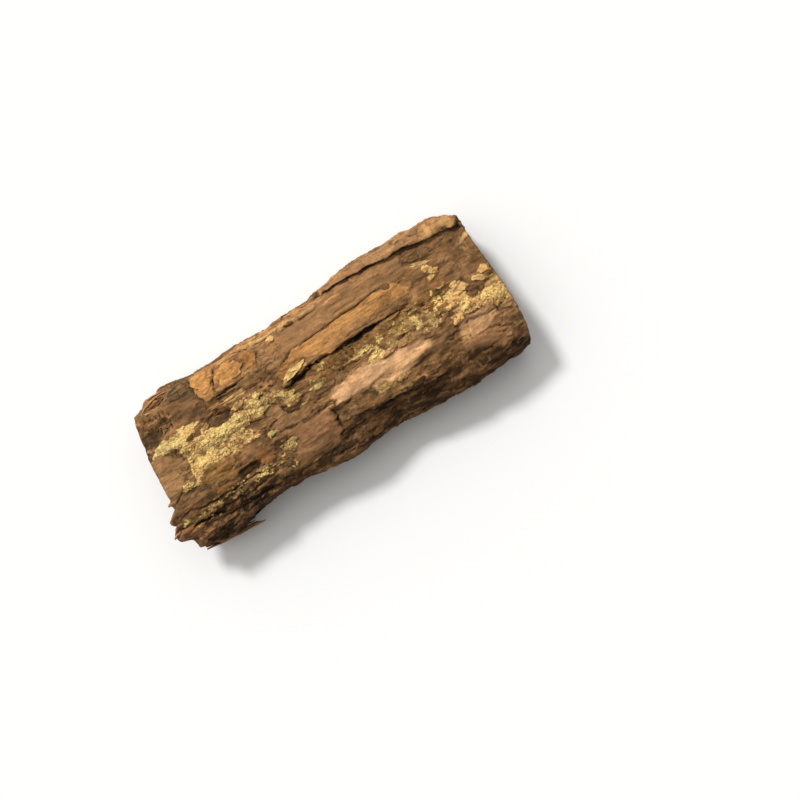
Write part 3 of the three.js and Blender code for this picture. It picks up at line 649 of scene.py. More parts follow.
# those in the slit, deep and flankDark tones are painted shade, along cracks, under raised edges and on the
# flank
streaks = [  # thin lines of colour along the grain: points, half width, tone and strength
    ([(-41, 28.8), (-31, 28.4), (-20, 29.2)], 0.3, "darkPlate", 0.7), ([(-38, 30.4), (-26, 30.2),
     (-14, 30.9)], 0.35, "chip", 0.6),
    ([(-22, 31.6), (-12, 31.2), (-6, 29.6)], 0.45, "chip", 0.8), ([(-34, 31.6), (-22, 32.6),
     (-8, 32)], 0.3, "darkPlate", 0.6),
    ([(-8, 28.4), (-5.4, 28.2), (-3.6, 28.6)], 0.35, "slit", 0.9), ([(0, 28.3), (3, 28.5),
     (5.4, 28.5)], 0.3, "slit", 0.9),
    ([(-8, 29.4), (0, 29.6), (9, 29.6)], 0.4, "chip", 0.6), ([(12.6, 27.4), (16, 28.5),
     (21, 28)], 0.55, "orange", 0.9),
    ([(12.8, 29.6), (16, 29.5), (19, 30)], 0.25, "slit", 0.8), ([(10.4, 34.6), (11.4, 33.6),
     (13, 33.3)], 0.4, "deep", 0.8),
    ([(-4, 31.4), (8, 31.8), (22, 32.6)], 0.5, "strip", 0.6), ([(-46, 17.2), (-40, 17.5),
     (-34, 17)], 0.3, "slit", 0.8),
    ([(-45, 19), (-38, 19.3), (-31, 19.9)], 0.35, "slit", 0.9), ([(-22.6, 16.6), (-21, 18.4),
     (-19.6, 19.4)], 0.5, "deep", 0.7),
    ([(-31, 5.4), (-27, 4), (-24, 3.6)], 0.3, "deep", 0.6), ([(-30, -7.5), (-20, -7.3), (-12, -7.2),
     (-7, -8.4)], 0.28, "deep", 0.7),
    ([(-18, -2.4), (-15, -1.6), (-12, -0.8)], 0.35, "chip", 0.8), ([(-16, -8.4), (-12, -8.9),
     (-7, -8.8)], 0.2, "deep", 0.6),
    ([(-5.6, -11), (-4, -9.8), (-2.6, -7.8)], 0.3, "slit", 0.8), ([(-42, 9.2), (-37, 8.4),
     (-33, 6.6)], 0.25, "deep", 0.7),
    ([(-62, -22.4), (-52, -22.2), (-42, -21.2)], 0.4, "deep", 0.7), ([(-82, -22), (-76, -22.6),
     (-68, -24)], 0.5, "slit", 0.8),
    ([(-82, -27.6), (-74, -28), (-66, -29.4)], 0.3, "slit", 0.6), ([(-80, -30.4), (-70, -31.4),
     (-62, -32)], 0.3, "deep", 0.6),
    ([(52, 34.6), (64, 34), (76, 32)], 0.4, "strip", 0.6), ([(50, 36), (62, 35.4),
     (74, 33.6)], 0.3, "redBrown", 0.6),
    ([(62, 24.2), (64.6, 23.4), (66, 24.2)], 0.4, "deep", 0.6), ([(70, 24.6),
     (71.6, 24.2)], 0.5, "deep", 0.7),
    ([(62, -15), (68, -16), (74, -19)], 0.3, "deep", 0.6), ([(8.4, 2.5), (11, 2.2),
     (14, 1.8)], 0.35, "oliveLight", 0.9),
    ([(13, 4.4), (15, 4.6), (16.6, 4)], 0.5, "oliveLight", 0.8), ([(2, 6.6), (6, 7.2),
     (12, 6.4)], 0.4, "deep", 0.4),
    ([(-69.2, 24.6), (-68.8, 21), (-70.2, 17)], 0.4, "deep", 0.7), ([(-71.4, 23.4), (-71.6, 20),
     (-72.8, 17)], 0.3, "deep", 0.5),
    ([(-77, 26.4), (-73, 27.6), (-67, 28.2)], 0.5, "chip", 0.6), ([(-24, -22), (-14, -21),
     (-9, -21.4)], 0.3, "redBrown", 0.6),
    ([(-2, -26), (12, -25.4), (26, -27)], 0.4, "brown", 0.5), ([(0, -28.6), (14, -28.4),
     (30, -29.4)], 0.4, "flankDark", 0.7),
]
rings = [  # small round crusts with an open middle: centre and radius
    (-60, -19.4, 1.9), (-49, -19.6, 1.2), (-41.4, -19.4, 1.5), (-44.6, -2, 1.5), (-41.4, -1.4, 1.1),
    (-29, 9.4, 1.5), (-31.6, -21.6, 1.6), (-2, 8.4, 1.1), (-33, -15.4, 1.1), (-57, -20.6, 1.3),
     (34, 2, 1.4),
]


def insideOutline(x, across, outline):
    # distance to the nearest edge, positive inside, where inside means an odd number of crossings
    best = pathDistance(x, across, outline + outline[:1])
    inside = np.zeros(x.shape, bool)
    for (x0, a0), (x1, a1) in zip(outline, outline[1:] + outline[:1]):
        if a0 != a1:
            crosses = ((a0 > across) != (a1 > across)) & (x < x0 + (across - a0) * (x1 - x0) / (a1 - a0))
            inside ^= crosses
    return np.where(inside, best, -best)


shares = np.linspace(0, 1, 101)
samplePoints = np.random.default_rng(1).uniform(-400, 400, (2, 20000))
noiseLevels = np.quantile(layeredNoise(samplePoints[0], samplePoints[1], 601, 4), shares)


def flankStretch(across):
    # across, running faster on the flanks, where patches and layers are thinner
    return across + 0.9 * np.sign(across) * np.maximum(np.abs(across) - 26, 0)


def coverMask(values, share, edge):
    # 1 over the given share of a layered noise, where it stands highest
    return smooth((values - np.interp(1 - share, shares, noiseLevels)) / edge + 0.5)


def paint(x, across, bentX, bentA):
    # zones laid one over another; gives the ground's colour, the crust's colour and share, calm and rise
    shape = x.shape
    flatX, flatA = bentX.ravel(), bentA.ravel()
    colour = np.tile(tones["brown"], (x.size, 1))
    crustTint = np.tile(tones["lichenWarm"], (x.size, 1))
    crust, calm, rise = np.zeros((3, x.size))
    pattern = crustNoise
    crumbs = layeredNoise(flatX / pattern["along"], flatA / pattern["width"], pattern["seed"], 4)
    for name, toneName, outline, height, cover, calmed in zones:
        edge = softEdges.get(name, zoneEdge)
        low, high = np.min(outline, 0) - edge, np.max(outline, 0) + edge
        near = np.flatnonzero((flatX > low[0]) & (flatX < high[0]) & (flatA > low[1]) & (flatA < high[1]))
        if not len(near):
            continue
        mask = smooth(0.5 + insideOutline(flatX[near], flatA[near], outline) / (2 * edge))
        crusted = toneName in crustTones and cover < 0.92
        if cover < 1 and not crusted:
            mask = mask * coverMask(crumbs[near], cover, pattern["edge"])
        target = crustTint if crusted else colour
        target[near] += (tones[toneName] - target[near]) * mask[:, None]
        amount = np.clip(cover + pattern["spread"] * (1.1 - cover) * crumbs[near], 0, 1) if crusted else 0
        crust[near] += (amount - crust[near]) * mask
        calm[near] += (calmed - calm[near]) * mask
        rise[near] += height * mask * (pattern["rise"] * amount if crusted else 1)
    for toneName, along, width, seed, share, strength, kept in residues:
        patch = layeredNoise(flatX / along, flankStretch(flatA) / width, seed, 4)
        mask = coverMask(patch, share, 0.1) * strength * (1 - (1 - kept) * calm) * (1 - 0.6 * crust)
        if toneName == "oliveLight":
            mask *= 1 - 0.8 * smooth((np.abs(flatA) - 24) / 6)
        colour += (tones[toneName] - colour) * mask[:, None]
    for points, half, toneName, strength in streaks:
        low, high = np.min(points, 0) - 2, np.max(points, 0) + 2
        near = np.flatnonzero((flatX > low[0]) & (flatX < high[0]) & (flatA > low[1]) & (flatA < high[1]))
        off = pathDistance(flatX[near], flatA[near], points) / half
        mask = strength * smooth(1.4 - off + 0.4 * crumbs[near])
        colour[near] += (tones[toneName] - colour[near]) * mask[:, None]
        crust[near] -= crust[near] * mask
    for midX, midA, radius in rings:
        away = np.hypot(flatX - midX, 1.2 * (flatA - midA))
        mask = np.exp(-(((away - radius) / 0.42) ** 2))
        crust += (0.6 - crust) * mask
        crustTint += (tones["oliveLight"] - crustTint) * mask[:, None]
        rise += 0.12 * mask
        centre = 0.5 * smooth(1.4 - away / (0.6 * radius))
        colour += (tones["deep"] - colour) * centre[:, None]
        crust -= crust * centre
    for along, width, seed, share, strength, toneName in pattern["stains"]:
        stain = strength * coverMask(layeredNoise(flatX / along, flatA / width, seed, 4), share, 0.25)
        crustTint += (tones[toneName] - crustTint) * stain[:, None]
    light = shading["broad"] * layeredNoise(x / 11, across / 5, 531, 3)
    light += shading["streak"] * layeredNoise(bentX / 9, bentA / 0.75, 533, 3)
    light += shading["fine"] * layeredNoise(bentX / 1.6, bentA / 0.9, 537, 3)
    light += shading["speck"] * noise(x / 0.5, across / 0.45, 541)
    gain = np.exp(1.6 * light)[..., None]
    colour = colour.reshape(shape + (3,)) * gain
    crustTint = crustTint.reshape(shape + (3,)) * gain**0.6
    return {"tint": colour, "crustTint": crustTint, "crust": crust.reshape(shape),
            "calm": calm.reshape(shape), "rise": rise.reshape(shape)}


# Fine relief: thin layers that have flaked off, fibre ridges, grains of crust and short splits
fineRelief = {
    "layerRise": 0.22,
    "layers": [(15, 5.5, 401, 0.55), (11, 4.2, 409, 0.4), (8, 3.2, 419, 0.3), (5, 1.8, 421, 0.3)],
    "fibre": [(9, 1.3, 0.13, 431), (5, 0.8, 0.08, 433)],
    "lumps": [(4.4, 2.6, 0.3, 435), (2.0, 1.3, 0.17, 437), (1.0, 0.8, 0.09, 438)],
    "grain": [(1.5, 1.2, 0.14, 439), (0.9, 0.8, 0.12, 443)],
    "sink": 0.42,
    "padding": [((-70, -36), (16, 7), 1.6), ((-76, 34), (6, 5), 0.8), ((75, -35), (9, 8), 1.3),
     ((66, 38), (10, 7), 0.9)],
    "ridged": [((40, 36), (48, 8)), ((-22, 33), (38, 4.5)), ((-70, 32), (14, 8))],
    "ridges": [(16, 1.5, 0.32, 451), (10, 0.9, 0.2, 453)],
    "splits": 260,
    "splitSeed": 5,
    "wrinkles": [((-70, 20.5), (5.5, 6.5), 1.9, 0.32, 0.1), ((8, 5.6), (16, 3.4), 2.4, 0.35, 0.7),
     ((66, -5), (13, 4.6), 2.2, 0.25, 0.7)],
}


def splitRelief(x, across):
    # short lens-shaped splits, most of them along the grain, drawn at random from one seed
    draw = np.random.default_rng(fineRelief["splitSeed"])
    depth = np.zeros(x.shape)
    for _ in range(fineRelief["splits"]):
        midX, midA = draw.uniform(-82, 79), draw.uniform(-44, 44)
        halfLength, halfWidth = draw.uniform(1.2, 6.5), draw.uniform(0.2, 0.42)
        lean, deep = draw.normal(0, 0.16), draw.uniform(0.25, 0.9)
        near = np.abs(x - midX) < halfLength
        along = (x[near] - midX) / halfLength
        off = (across[near] - midA - lean * (x[near] - midX) - 0.7 * noise(x[near] / 2.2, along * 0, 449))
        shape = (1 - along**2) * np.exp(-((off / (halfWidth * (1.1 - along**2))) ** 2))
        depth[near] = np.maximum(depth[near], deep * shape)
    return depth


def fullRelief(x, across):
    # broad relief, plus the zones' own rise, plus thin layers, fibre, lumps and crust, less the splits
    bentX, bentA = bend(x, across)
    look = paint(x, across, bentX, bentA)
    crust = look["crust"]
    rough = 1 - 0.8 * look["calm"]
    height = broadRelief(x, across, bentX, bentA) + look["rise"] - fineRelief["sink"]
    for (midX, midA), (halfX, halfA), more in fineRelief["padding"]:
        height += more * smooth(1.6 - 1.6 * np.hypot((x - midX) / halfX, (across - midA) / halfA))
    layer = np.zeros(x.shape)
    for along, width, seed, share in fineRelief["layers"]:
        layer += coverMask(layeredNoise(bentX / along, flankStretch(bentA) / width, seed, 4), share, 0.04)
    height += fineRelief["layerRise"] * layer * rough
    for along, width, size, seed in fineRelief["fibre"]:
        height += size * noise(bentX / along, bentA / width, seed)
    steep = smooth((np.abs(across) - 27) / 9)
    for along, width, size, seed in fineRelief["lumps"]:
        height += size * noise(x / along, across / width, seed) * rough * (1 - 0.6 * steep)
    for along, width, size, seed in fineRelief["ridges"]:
        height += 0.8 * size * steep * noise(bentX / along, bentA / width, seed + 4)
    for along, width, size, seed in fineRelief["grain"]:
        height += size * crust * np.abs(noise(x / along, across / width, seed))
    for (midX, midA), (halfX, halfA), wave, size, slant in fineRelief["wrinkles"]:
        inside = smooth(1.6 - 1.4 * np.hypot((x - midX) / halfX, (across - midA) / halfA))
        turn = 2 * math.pi * (bentX + slant * bentA) / wave + 2.5 * noise(x / 5, across / 2.5, 445)
        height += size * inside * np.sin(turn)
    for (midX, midA), (halfX, halfA) in fineRelief["ridged"]:
        inside = smooth(2.2 - 2 * np.hypot((x - midX) / halfX, (across - midA) / halfA))
        for along, width, size, seed in fineRelief["ridges"]:
            height += size * inside * noise(x / along, bentA / width, seed)
    splits = splitRelief(bentX, bentA)
    height -= splits * rough
    return height, look


def boxBlur(values, radius):
    # running mean over a square window, both ways, with the border repeated
    for axis in (0, 1):
        margins = [(radius + 1, radius) if k == axis else (0, 0) for k in (0, 1)]
        padded = np.pad(values, margins, mode="edge")
        total = np.cumsum(padded, axis=axis)
        size = 2 * radius + 1
        values = (np.take(total, range(size, total.shape[axis]), axis)
                  - np.take(total, range(total.shape[axis] - size), axis)) / size
    return values


def toWorld(x, y, z):
    return np.stack([(x - drawnMiddle[0]) * mm, (y - drawnMiddle[1]) * mm, np.maximum(z, 0) * mm], -1)


def placeOnShell(x, across, height):
    # a point lifted by height, in millimetres, along the shell's normal
    y, z, normalY, normalZ, _ = onShell(x, across)
    return toWorld(placeAlong(x, across), y + normalY * height, z + normalZ * height)


def gridFaces(index):
    # quads between neighbouring rows and columns of an index grid
    return np.stack([index[:-1, :-1], index[1:, :-1], index[1:, 1:], index[:-1, 1:]], -1).reshape(-1, 4)


def stitchFaces(fine, coarse):
    # triangles that join a fine row of points to a coarse one with a whole-number ratio: a fan
    # from each coarse point over half of its fine points, and one triangle between the two fans
    ratio = (len(fine) - 1) // (len(coarse) - 1)
    first = np.arange(len(coarse) - 1) * ratio
    steps = np.arange(ratio)
    at = first[:, None] + steps
    hub = np.where(steps < ratio // 2, coarse[:-1, None], coarse[1:, None])
    fans = np.stack([fine[at], fine[at + 1], hub], -1)
    between = np.stack([fine[first + ratio // 2], coarse[1:], coarse[:-1]], -1)
    return np.concatenate([fans, between[:, None]], axis=1).reshape(-1, 3)


def newObject(name, vertices, faces, attributes, uv=None):
    # one mesh from points and blocks of face rows, with a colour or number for each vertex, its
    # doubles merged and its normals turned out
    mesh = bpy.data.meshes.new(name)
    mesh.from_pydata(vertices.tolist(), [], [face for block in faces for face in block.tolist()])
    for key, values in attributes.items():
        if values.ndim == 2:
            layer = mesh.attributes.new(key, "FLOAT_COLOR", "POINT")
            layer.data.foreach_set("color", np.hstack([values, np.ones((len(values), 1))]).ravel())
        else:
            layer = mesh.attributes.new(key, "FLOAT", "POINT")
            layer.data.foreach_set("value", values.astype(np.float32))
    if uv is not None:
        corners = np.zeros(len(mesh.loops), np.int32)
        mesh.loops.foreach_get("vertex_index", corners)
        mesh.uv_layers.new(name="OFBake").data.foreach_set("uv", uv[corners].astype(np.float32).ravel())
    work = bmesh.new()
    work.from_mesh(mesh)
    bmesh.ops.remove_doubles(work, verts=work.verts, dist=1e-7)
    bmesh.ops.recalc_face_normals(work, faces=work.faces)
    work.to_mesh(mesh)
    work.free()
    mesh.polygons.foreach_set("use_smooth", np.ones(len(mesh.polygons), bool))
    piece = bpy.data.objects.new(name, mesh)
    scene.collection.objects.link(piece)
    return piece


# The body of the bark: a fine outside, a coarser inside, and the torn rims and ends between them
bodyGrid = {"stations": 330, "stepsPerSide": 120, "insideEvery": 5, "insideStations": 2, "wallSteps": 8}


def makeBody():
    grid = bodyGrid
    steps = grid["stepsPerSide"]
    x = np.linspace(shell["cutLeft"], shell["cutRight"], grid["stations"] + 1)
    section = fullSection(x, steps)
    fullX = np.repeat(x[:, None], 2 * steps + 1, axis=1)
    y, z, across, normalY, normalZ, share = section
    height, look = fullRelief(fullX, across)
    colour = look["tint"]
    outside = toWorld(placeAlong(fullX, across), y + normalY * height, z + normalZ * height)
    wall = shell["wallAtCrown"] + (shell["wallAtRim"] - shell["wallAtCrown"]) * share
    wall = wall + rippleHeight(insideRipples, fullX, across)
    inside = toWorld(placeAlong(fullX, across), y - normalY * wall, z - normalZ * wall)
    inside = inside[:: grid["insideStations"], :: grid["insideEvery"]]

    # how far each point stands out from, or lies below, its surroundings; the material paints a highlight on
    # what stands out and shade in what lies below
    cavity = np.clip((height - boxBlur(height, 1)) / 0.3, -1, 1) * 0.4
    cavity += np.clip((height - boxBlur(height, 3)) / 0.7, -1, 1) * 0.6
    innerTone = np.ones(inside.shape) * tone(150, 104, 72)
    innerAcross = across[:: grid["insideStations"], :: grid["insideEvery"]]
    innerX = fullX[:: grid["insideStations"], :: grid["insideEvery"]]
    innerTone *= (1 + 0.22 * layeredNoise(innerX / 26, innerAcross / 2.4, 461, 3))[..., None]

    vertices, uvs, faces = [], [], []
    values = {key: [] for key in ("tint", "crustTint", "crust", "calm", "cavity", "cut", "depth", "run")}
    count = 0

    def addBlock(points, block, uv):
        nonlocal count
        index = np.arange(count, count + points.shape[0] * points.shape[1]).reshape(points.shape[:2])
        count += index.size
        vertices.append(points.reshape(-1, 3))
        for key, store in values.items():
            if key.endswith("int"):
                store.append(np.broadcast_to(block.get(key, block["tint"]), points.shape).reshape(-1, 3))
            else:
                store.append(np.broadcast_to(block.get(key, 0.0), points.shape[:2]).ravel())
        uvs.append(uv.reshape(-1, 2))
        return index

    def plotUv(shape, low, high):
        rows, columns = np.linspace(0.004, 0.996, shape[0]), np.linspace(low, high, shape[1])
        return np.stack(np.meshgrid(rows, columns, indexing="ij"), -1)

    outer = addBlock(outside, {**look, "cavity": cavity}, plotUv(outside.shape, 0.004, 0.68))
    innerLook = {"tint": innerTone, "crust": 0, "calm": 0.3, "cavity": 0}
    inner = addBlock(inside, innerLook, plotUv(inside.shape, 0.69, 0.93))
    faces += [gridFaces(outer), gridFaces(inner)]

    # each torn face runs from an outer row to the matching inner row in a few steps
    def wallFace(outerRow, innerRow, tintA, acrossRow, xRow, bulge, low, high, coarse):
        k = np.linspace(0, 1, grid["wallSteps"] + 1)[None, :]
        points = outerRow[:, None] * (1 - k[..., None]) + innerRow[:, None] * k[..., None]
        ends = np.ones(len(outerRow))
        ends[[0, -1]] = 0
        middle = np.sin(k * math.pi) ** 0.5 * ends[:, None]
        run = (acrossRow + xRow)[:, None]
        layers = noise(k * 6.5 + 0.5 * noise(run / 5, 0 * run, 475), run / 9 + 0 * k, 471)
        fine = noise(k * 12 + 0 * run, run / 1.3 + 0 * k, 477)
        points = points + bulge * ((0.6 * layers + 0.35 * fine) * middle)[..., None] * mm
        points[..., 2] = np.maximum(points[..., 2], 0)
        shade = 0.86 + 0.3 * layers + 0.2 * fine
        bands = np.clip(k * 3, 0, 1)[..., None]
        tint = (tintA[:, None] * (1 - bands) + tone(166, 118, 82) * bands) * shade[..., None]
        # a cavity a little below zero paints the torn faces slightly darker, as shade
        faceLook = {"tint": tint[:, :-1], "crust": 0, "calm": 0.1, "cavity": -0.1, "cut": middle[:, :-1],
                    "depth": 5.5 * k[:, :-1], "run": run}
        index = addBlock(points[:, :-1], faceLook, plotUv(points[:, :-1].shape, low, high))
        faces.extend([gridFaces(index), stitchFaces(index[:, -1], coarse)])

    innerFull = toWorld(placeAlong(fullX, across), y - normalY * wall, z - normalZ * wall)
    # rims first, then ends: the row of points, x, the way the face swells and its band of the UV map
    whole, still = slice(None), np.zeros(across.shape[1])
    for row, along, bulge, low, high in (
        ((whole, 0), x, (0, 1, -1), 0.935, 0.95),
        ((whole, -1), x, (0, -1, -1), 0.952, 0.966),
        ((0,), still, (-1.6, 0, 0), 0.968, 0.982),
        ((-1,), still, (1, 0, 0), 0.984, 0.998),
    ):
        wallFace(outside[row], innerFull[row], colour[row], across[row], along,
                 np.array(bulge, float), low, high, inner[row])

    attributes = {key: np.concatenate(store) for key, store in values.items()}
    return newObject("barkBody", np.concatenate(vertices), faces, attributes, np.concatenate(uvs))


# Shader helpers
def addNode(tree, kind, **values):
    node = tree.nodes.new(kind)
    for key, value in values.items():
        if hasattr(node, key):
            setattr(node, key, value)
        else:
            node.inputs[key.replace("_", " ")].default_value = value
    return node


def mathNode(tree, operation, first, second=None, clamp=False):
    node = tree.nodes.new("ShaderNodeMath")
    node.operation = operation
    node.use_clamp = clamp
    for socket, value in zip(node.inputs, (first, second)):
        if value is None:
            continue
        if isinstance(value, (int, float)):
            socket.default_value = value
        else:
            tree.links.new(value, socket)
    return node.outputs[0]


def maths(tree):
    # times, plus and minus for one node tree
    return [lambda first, second, clamp=False, kind=kind: mathNode(tree, kind, first, second, clamp)
            for kind in ("MULTIPLY", "ADD", "SUBTRACT")]


def mixColours(tree, factor, first, second, blend="MIX"):
    node = tree.nodes.new("ShaderNodeMix")
    node.data_type = "RGBA"
    node.blend_type = blend
    for socket, value in ((node.inputs[0], factor), (node.inputs[6], first), (node.inputs[7], second)):
        if isinstance(value, (int, float)):
            socket.default_value = value
        elif isinstance(value, (tuple, list, np.ndarray)):
            socket.default_value = (*value, 1.0)
        else:
            tree.links.new(value, socket)
    return node.outputs[2]


def newGroup(name, inputs, outputs):
    group = bpy.data.node_groups.new(name, "ShaderNodeTree")
    for socketName, kind, default in inputs:
        socket = group.interface.new_socket(socketName, in_out="INPUT", socket_type=kind)
        socket.default_value = default
    for socketName, kind in outputs:
        group.interface.new_socket(socketName, in_out="OUTPUT", socket_type=kind)
    return group, group.nodes.new("NodeGroupInput"), group.nodes.new("NodeGroupOutput")


def stretchedNoise(tree, place, scale, stretch, detail=3.0, roughness=0.6):
    # noise whose features are longer along the grain: scale is per metre, stretch shrinks it along x
    turn = addNode(tree, "ShaderNodeMapping", Scale=(scale * stretch, scale, scale))
    tree.links.new(place.outputs["Object"], turn.inputs["Vector"])
    grain = addNode(tree, "ShaderNodeTexNoise", Scale=1.0, Detail=detail, Roughness=roughness)
    tree.links.new(turn.outputs[0], grain.inputs["Vector"])
    return grain.outputs[0]


def beyond(tree, value, level, slope):
    # a crisp mask: how far the value is past the level, times the slope, held from 0 to 1
    return mathNode(tree, "MULTIPLY", mathNode(tree, "SUBTRACT", value, level), slope, True)


def makeFibreGroup():
    # streaks along the grain at three widths, a fine speckle, thin dark and light layers, thin cracks (which
    # the material darkens as painted shade)
    group, source, result = newGroup(
        "barkFibre",
        [("Streak", "NodeSocketFloat", 1.0), ("Speckle", "NodeSocketFloat", 1.0)],
        [(part, "NodeSocketFloat") for part in ("Shade", "Height", "Dark", "Light", "Crack")],
    )
    place = group.nodes.new("ShaderNodeTexCoord")
    times, plus, minus = maths(group)
    total = None
    for scale, stretch, weight in ((900, 0.10, 0.6), (2600, 0.07, 0.4), (420, 0.14, 0.45)):
        grain = stretchedNoise(group, place, scale, stretch)
        part = times(minus(grain, 0.5), weight)
        total = part if total is None else plus(total, part)
    speckle = stretchedNoise(group, place, 1500.0, 0.7, 4.0, 0.7)
    dots = minus(speckle, 0.5)
    streaks = times(total, source.outputs["Streak"])
    specks = times(dots, source.outputs["Speckle"])
    group.links.new(plus(streaks, specks), result.inputs["Shade"])
    layers = stretchedNoise(group, place, 620.0, 0.3, 5.0, 0.62)
    dark = beyond(group, layers, 0.555, 14.0)
    light = beyond(group, minus(1.0, layers), 0.56, 14.0)
    group.links.new(dark, result.inputs["Dark"])
    group.links.new(light, result.inputs["Light"])
    ridge = stretchedNoise(group, place, 330.0, 0.13, 3.0, 0.55)
    nearLine = mathNode(group, "ABSOLUTE", minus(ridge, 0.5))
    line = beyond(group, minus(0.022, nearLine), 0.0, 70.0)
    openPart = beyond(group, stretchedNoise(group, place, 150.0, 0.4, 2.0), 0.5, 7.0)
    crack = times(line, openPart)
    group.links.new(crack, result.inputs["Crack"])
    height = plus(total, times(dots, 0.6))
    height = minus(height, times(dark, 0.22))
    height = plus(height, times(light, 0.15))
    height = minus(height, times(crack, 0.7))
    group.links.new(height, result.inputs["Height"])
    return group


def makeCrustGroup():
    # crust with ragged edges where the share given is passed, its grains, its pits and its height
    group, source, result = newGroup(
        "lichenCrust",
        [("Amount", "NodeSocketFloat", 1.0)],
        [(part, "NodeSocketFloat") for part in ("Cover", "Pit", "Pale", "Height")],
    )
    place = group.nodes.new("ShaderNodeTexCoord")
    times, plus, minus = maths(group)
    amount = source.outputs["Amount"]
    ragged = stretchedNoise(group, place, 480.0, 0.75, 6.0, 0.66)
    ready = plus(ragged, times(amount, 0.46))
    cover = beyond(group, ready, 0.69, 11.0)
    cover = times(cover, times(amount, 7.0, True))
    group.links.new(cover, result.inputs["Cover"])
    bend = addNode(group, "ShaderNodeTexNoise", Scale=700.0, Detail=2.0)
    group.links.new(place.outputs["Object"], bend.inputs["Vector"])
    shift = addNode(group, "ShaderNodeVectorMath", operation="SCALE", Scale=0.0012)
    group.links.new(bend.outputs["Color"], shift.inputs[0])
    moved = addNode(group, "ShaderNodeVectorMath", operation="ADD")
    group.links.new(place.outputs["Object"], moved.inputs[0])
    group.links.new(shift.outputs[0], moved.inputs[1])
    # each cell is paler towards its middle: pale grains, with a painted highlight on each grain's dome
    cells = addNode(group, "ShaderNodeTexVoronoi", Scale=820.0, feature="F1")
    group.links.new(moved.outputs[0], cells.inputs["Vector"])
    dome = minus(1.0, times(cells.outputs["Distance"], 1.3), True)
    pits = stretchedNoise(group, place, 640.0, 0.6, 4.0, 0.65)
    group.links.new(times(beyond(group, pits, 0.55, 9.0), cover), result.inputs["Pit"])
    group.links.new(times(beyond(group, dome, 0.45, 1.6), cover), result.inputs["Pale"])
    height = plus(times(dome, 0.4), 0.45)
    group.links.new(times(height, cover), result.inputs["Height"])
    return group


def barkMaterial(name, fibreGroup, crustGroup, values):
    material = bpy.data.materials.new(name)
    material.use_nodes = True
    tree = material.node_tree
    times, plus, minus = maths(tree)
    shader = tree.nodes["Principled BSDF"]

    def attribute(key, output):
        return addNode(tree, "ShaderNodeAttribute", attribute_name=key).outputs[output]

    tint = attribute("tint", "Color")
    crustTint = attribute("crustTint", "Color")
    calm = attribute("calm", "Fac")
    cavity = attribute("cavity", "Fac")
    fibre = tree.nodes.new("ShaderNodeGroup")
    fibre.node_tree = fibreGroup
    fibre.inputs["Streak"].default_value = values["streak"]
    fibre.inputs["Speckle"].default_value = values["speckle"]
    grains = tree.nodes.new("ShaderNodeGroup")
    grains.node_tree = crustGroup
    tree.links.new(attribute("crust", "Fac"), grains.inputs["Amount"])

    def grey(value):
        node = tree.nodes.new("ShaderNodeCombineColor")
        for socket in node.inputs[:3]:
            tree.links.new(value, socket)
        return node.outputs[0]

    roughPart = minus(1.0, times(calm, 0.5))
    dark = times(times(fibre.outputs["Dark"], roughPart), values["darkLayer"])
    light = times(times(fibre.outputs["Light"], roughPart), values["lightLayer"])
    layer = plus(minus(1.0, dark), light)
    colour = mixColours(tree, 1.0, tint, grey(layer), "MULTIPLY")
    # pale grain tops: the grains' own paleness with a painted highlight
    pale = mixColours(tree, 1.0, crustTint, values["paleGain"], "MULTIPLY")
    paleShare = times(grains.outputs["Pale"], values["palePart"])
    crustColour = mixColours(tree, paleShare, crustTint, pale)
    pit = times(grains.outputs["Pit"], values["pitPart"])
    crustColour = mixColours(tree, pit, crustColour, values["pitTone"])
    colour = mixColours(tree, grains.outputs["Cover"], colour, crustColour)
    # on torn faces the bark shows its layers: noise stretched along the wall, by depth into it
    wallPlace = tree.nodes.new("ShaderNodeCombineXYZ")
    tree.links.new(times(attribute("depth", "Fac"), values["layersPerMm"]), wallPlace.inputs[0])
    tree.links.new(times(attribute("run", "Fac"), values["layerRun"]), wallPlace.inputs[1])
    laminae = addNode(tree, "ShaderNodeTexNoise", Scale=1.0, Detail=5.0, Roughness=0.68)
    tree.links.new(wallPlace.outputs[0], laminae.inputs["Vector"])
    laminae = times(minus(laminae.outputs[0], 0.5), attribute("cut", "Fac"))
    layerShade = plus(1.0, times(laminae, values["layerContrast"]))
    colour = mixColours(tree, 1.0, colour, grey(layerShade), "MULTIPLY")
    shade = plus(1.0, times(fibre.outputs["Shade"], roughPart))
    shade = times(shade, values["brightness"])
    # painted light: where the cavity value is above zero the colour is lightened as a painted highlight,
    # below zero it is darkened as painted shade
    shade = plus(shade, times(cavity, values["ridgeLightAndHollowShade"]))
    colour = mixColours(tree, 1.0, colour, grey(shade), "MULTIPLY")
    # painted shade: hollows and the fibre's thin cracks are darkened towards the shade tone
    low = times(minus(values["creviceFrom"], cavity), values["creviceSlope"], True)
    low = times(low, values["creviceShade"])
    crack = times(times(fibre.outputs["Crack"], roughPart), values["crackShade"])
    colour = mixColours(tree, mathNode(tree, "MAXIMUM", low, crack), colour, values["creviceTone"])
    tree.links.new(colour, shader.inputs["Base Color"])

    height = times(fibre.outputs["Height"], roughPart)
    height = plus(height, times(grains.outputs["Height"], values["crustBump"]))
    height = plus(height, times(laminae, values["layerBump"]))
    bump = addNode(tree, "ShaderNodeBump", Strength=values["bump"], Distance=values["bumpDepth"])
    tree.links.new(height, bump.inputs["Height"])
    tree.links.new(bump.outputs[0], shader.inputs["Normal"])
    rough = plus(values["roughness"], times(fibre.outputs["Shade"], 0.12), True)
    tree.links.new(rough, shader.inputs["Roughness"])
    shader.inputs["Specular IOR Level"].default_value = values["specular"]
    return material


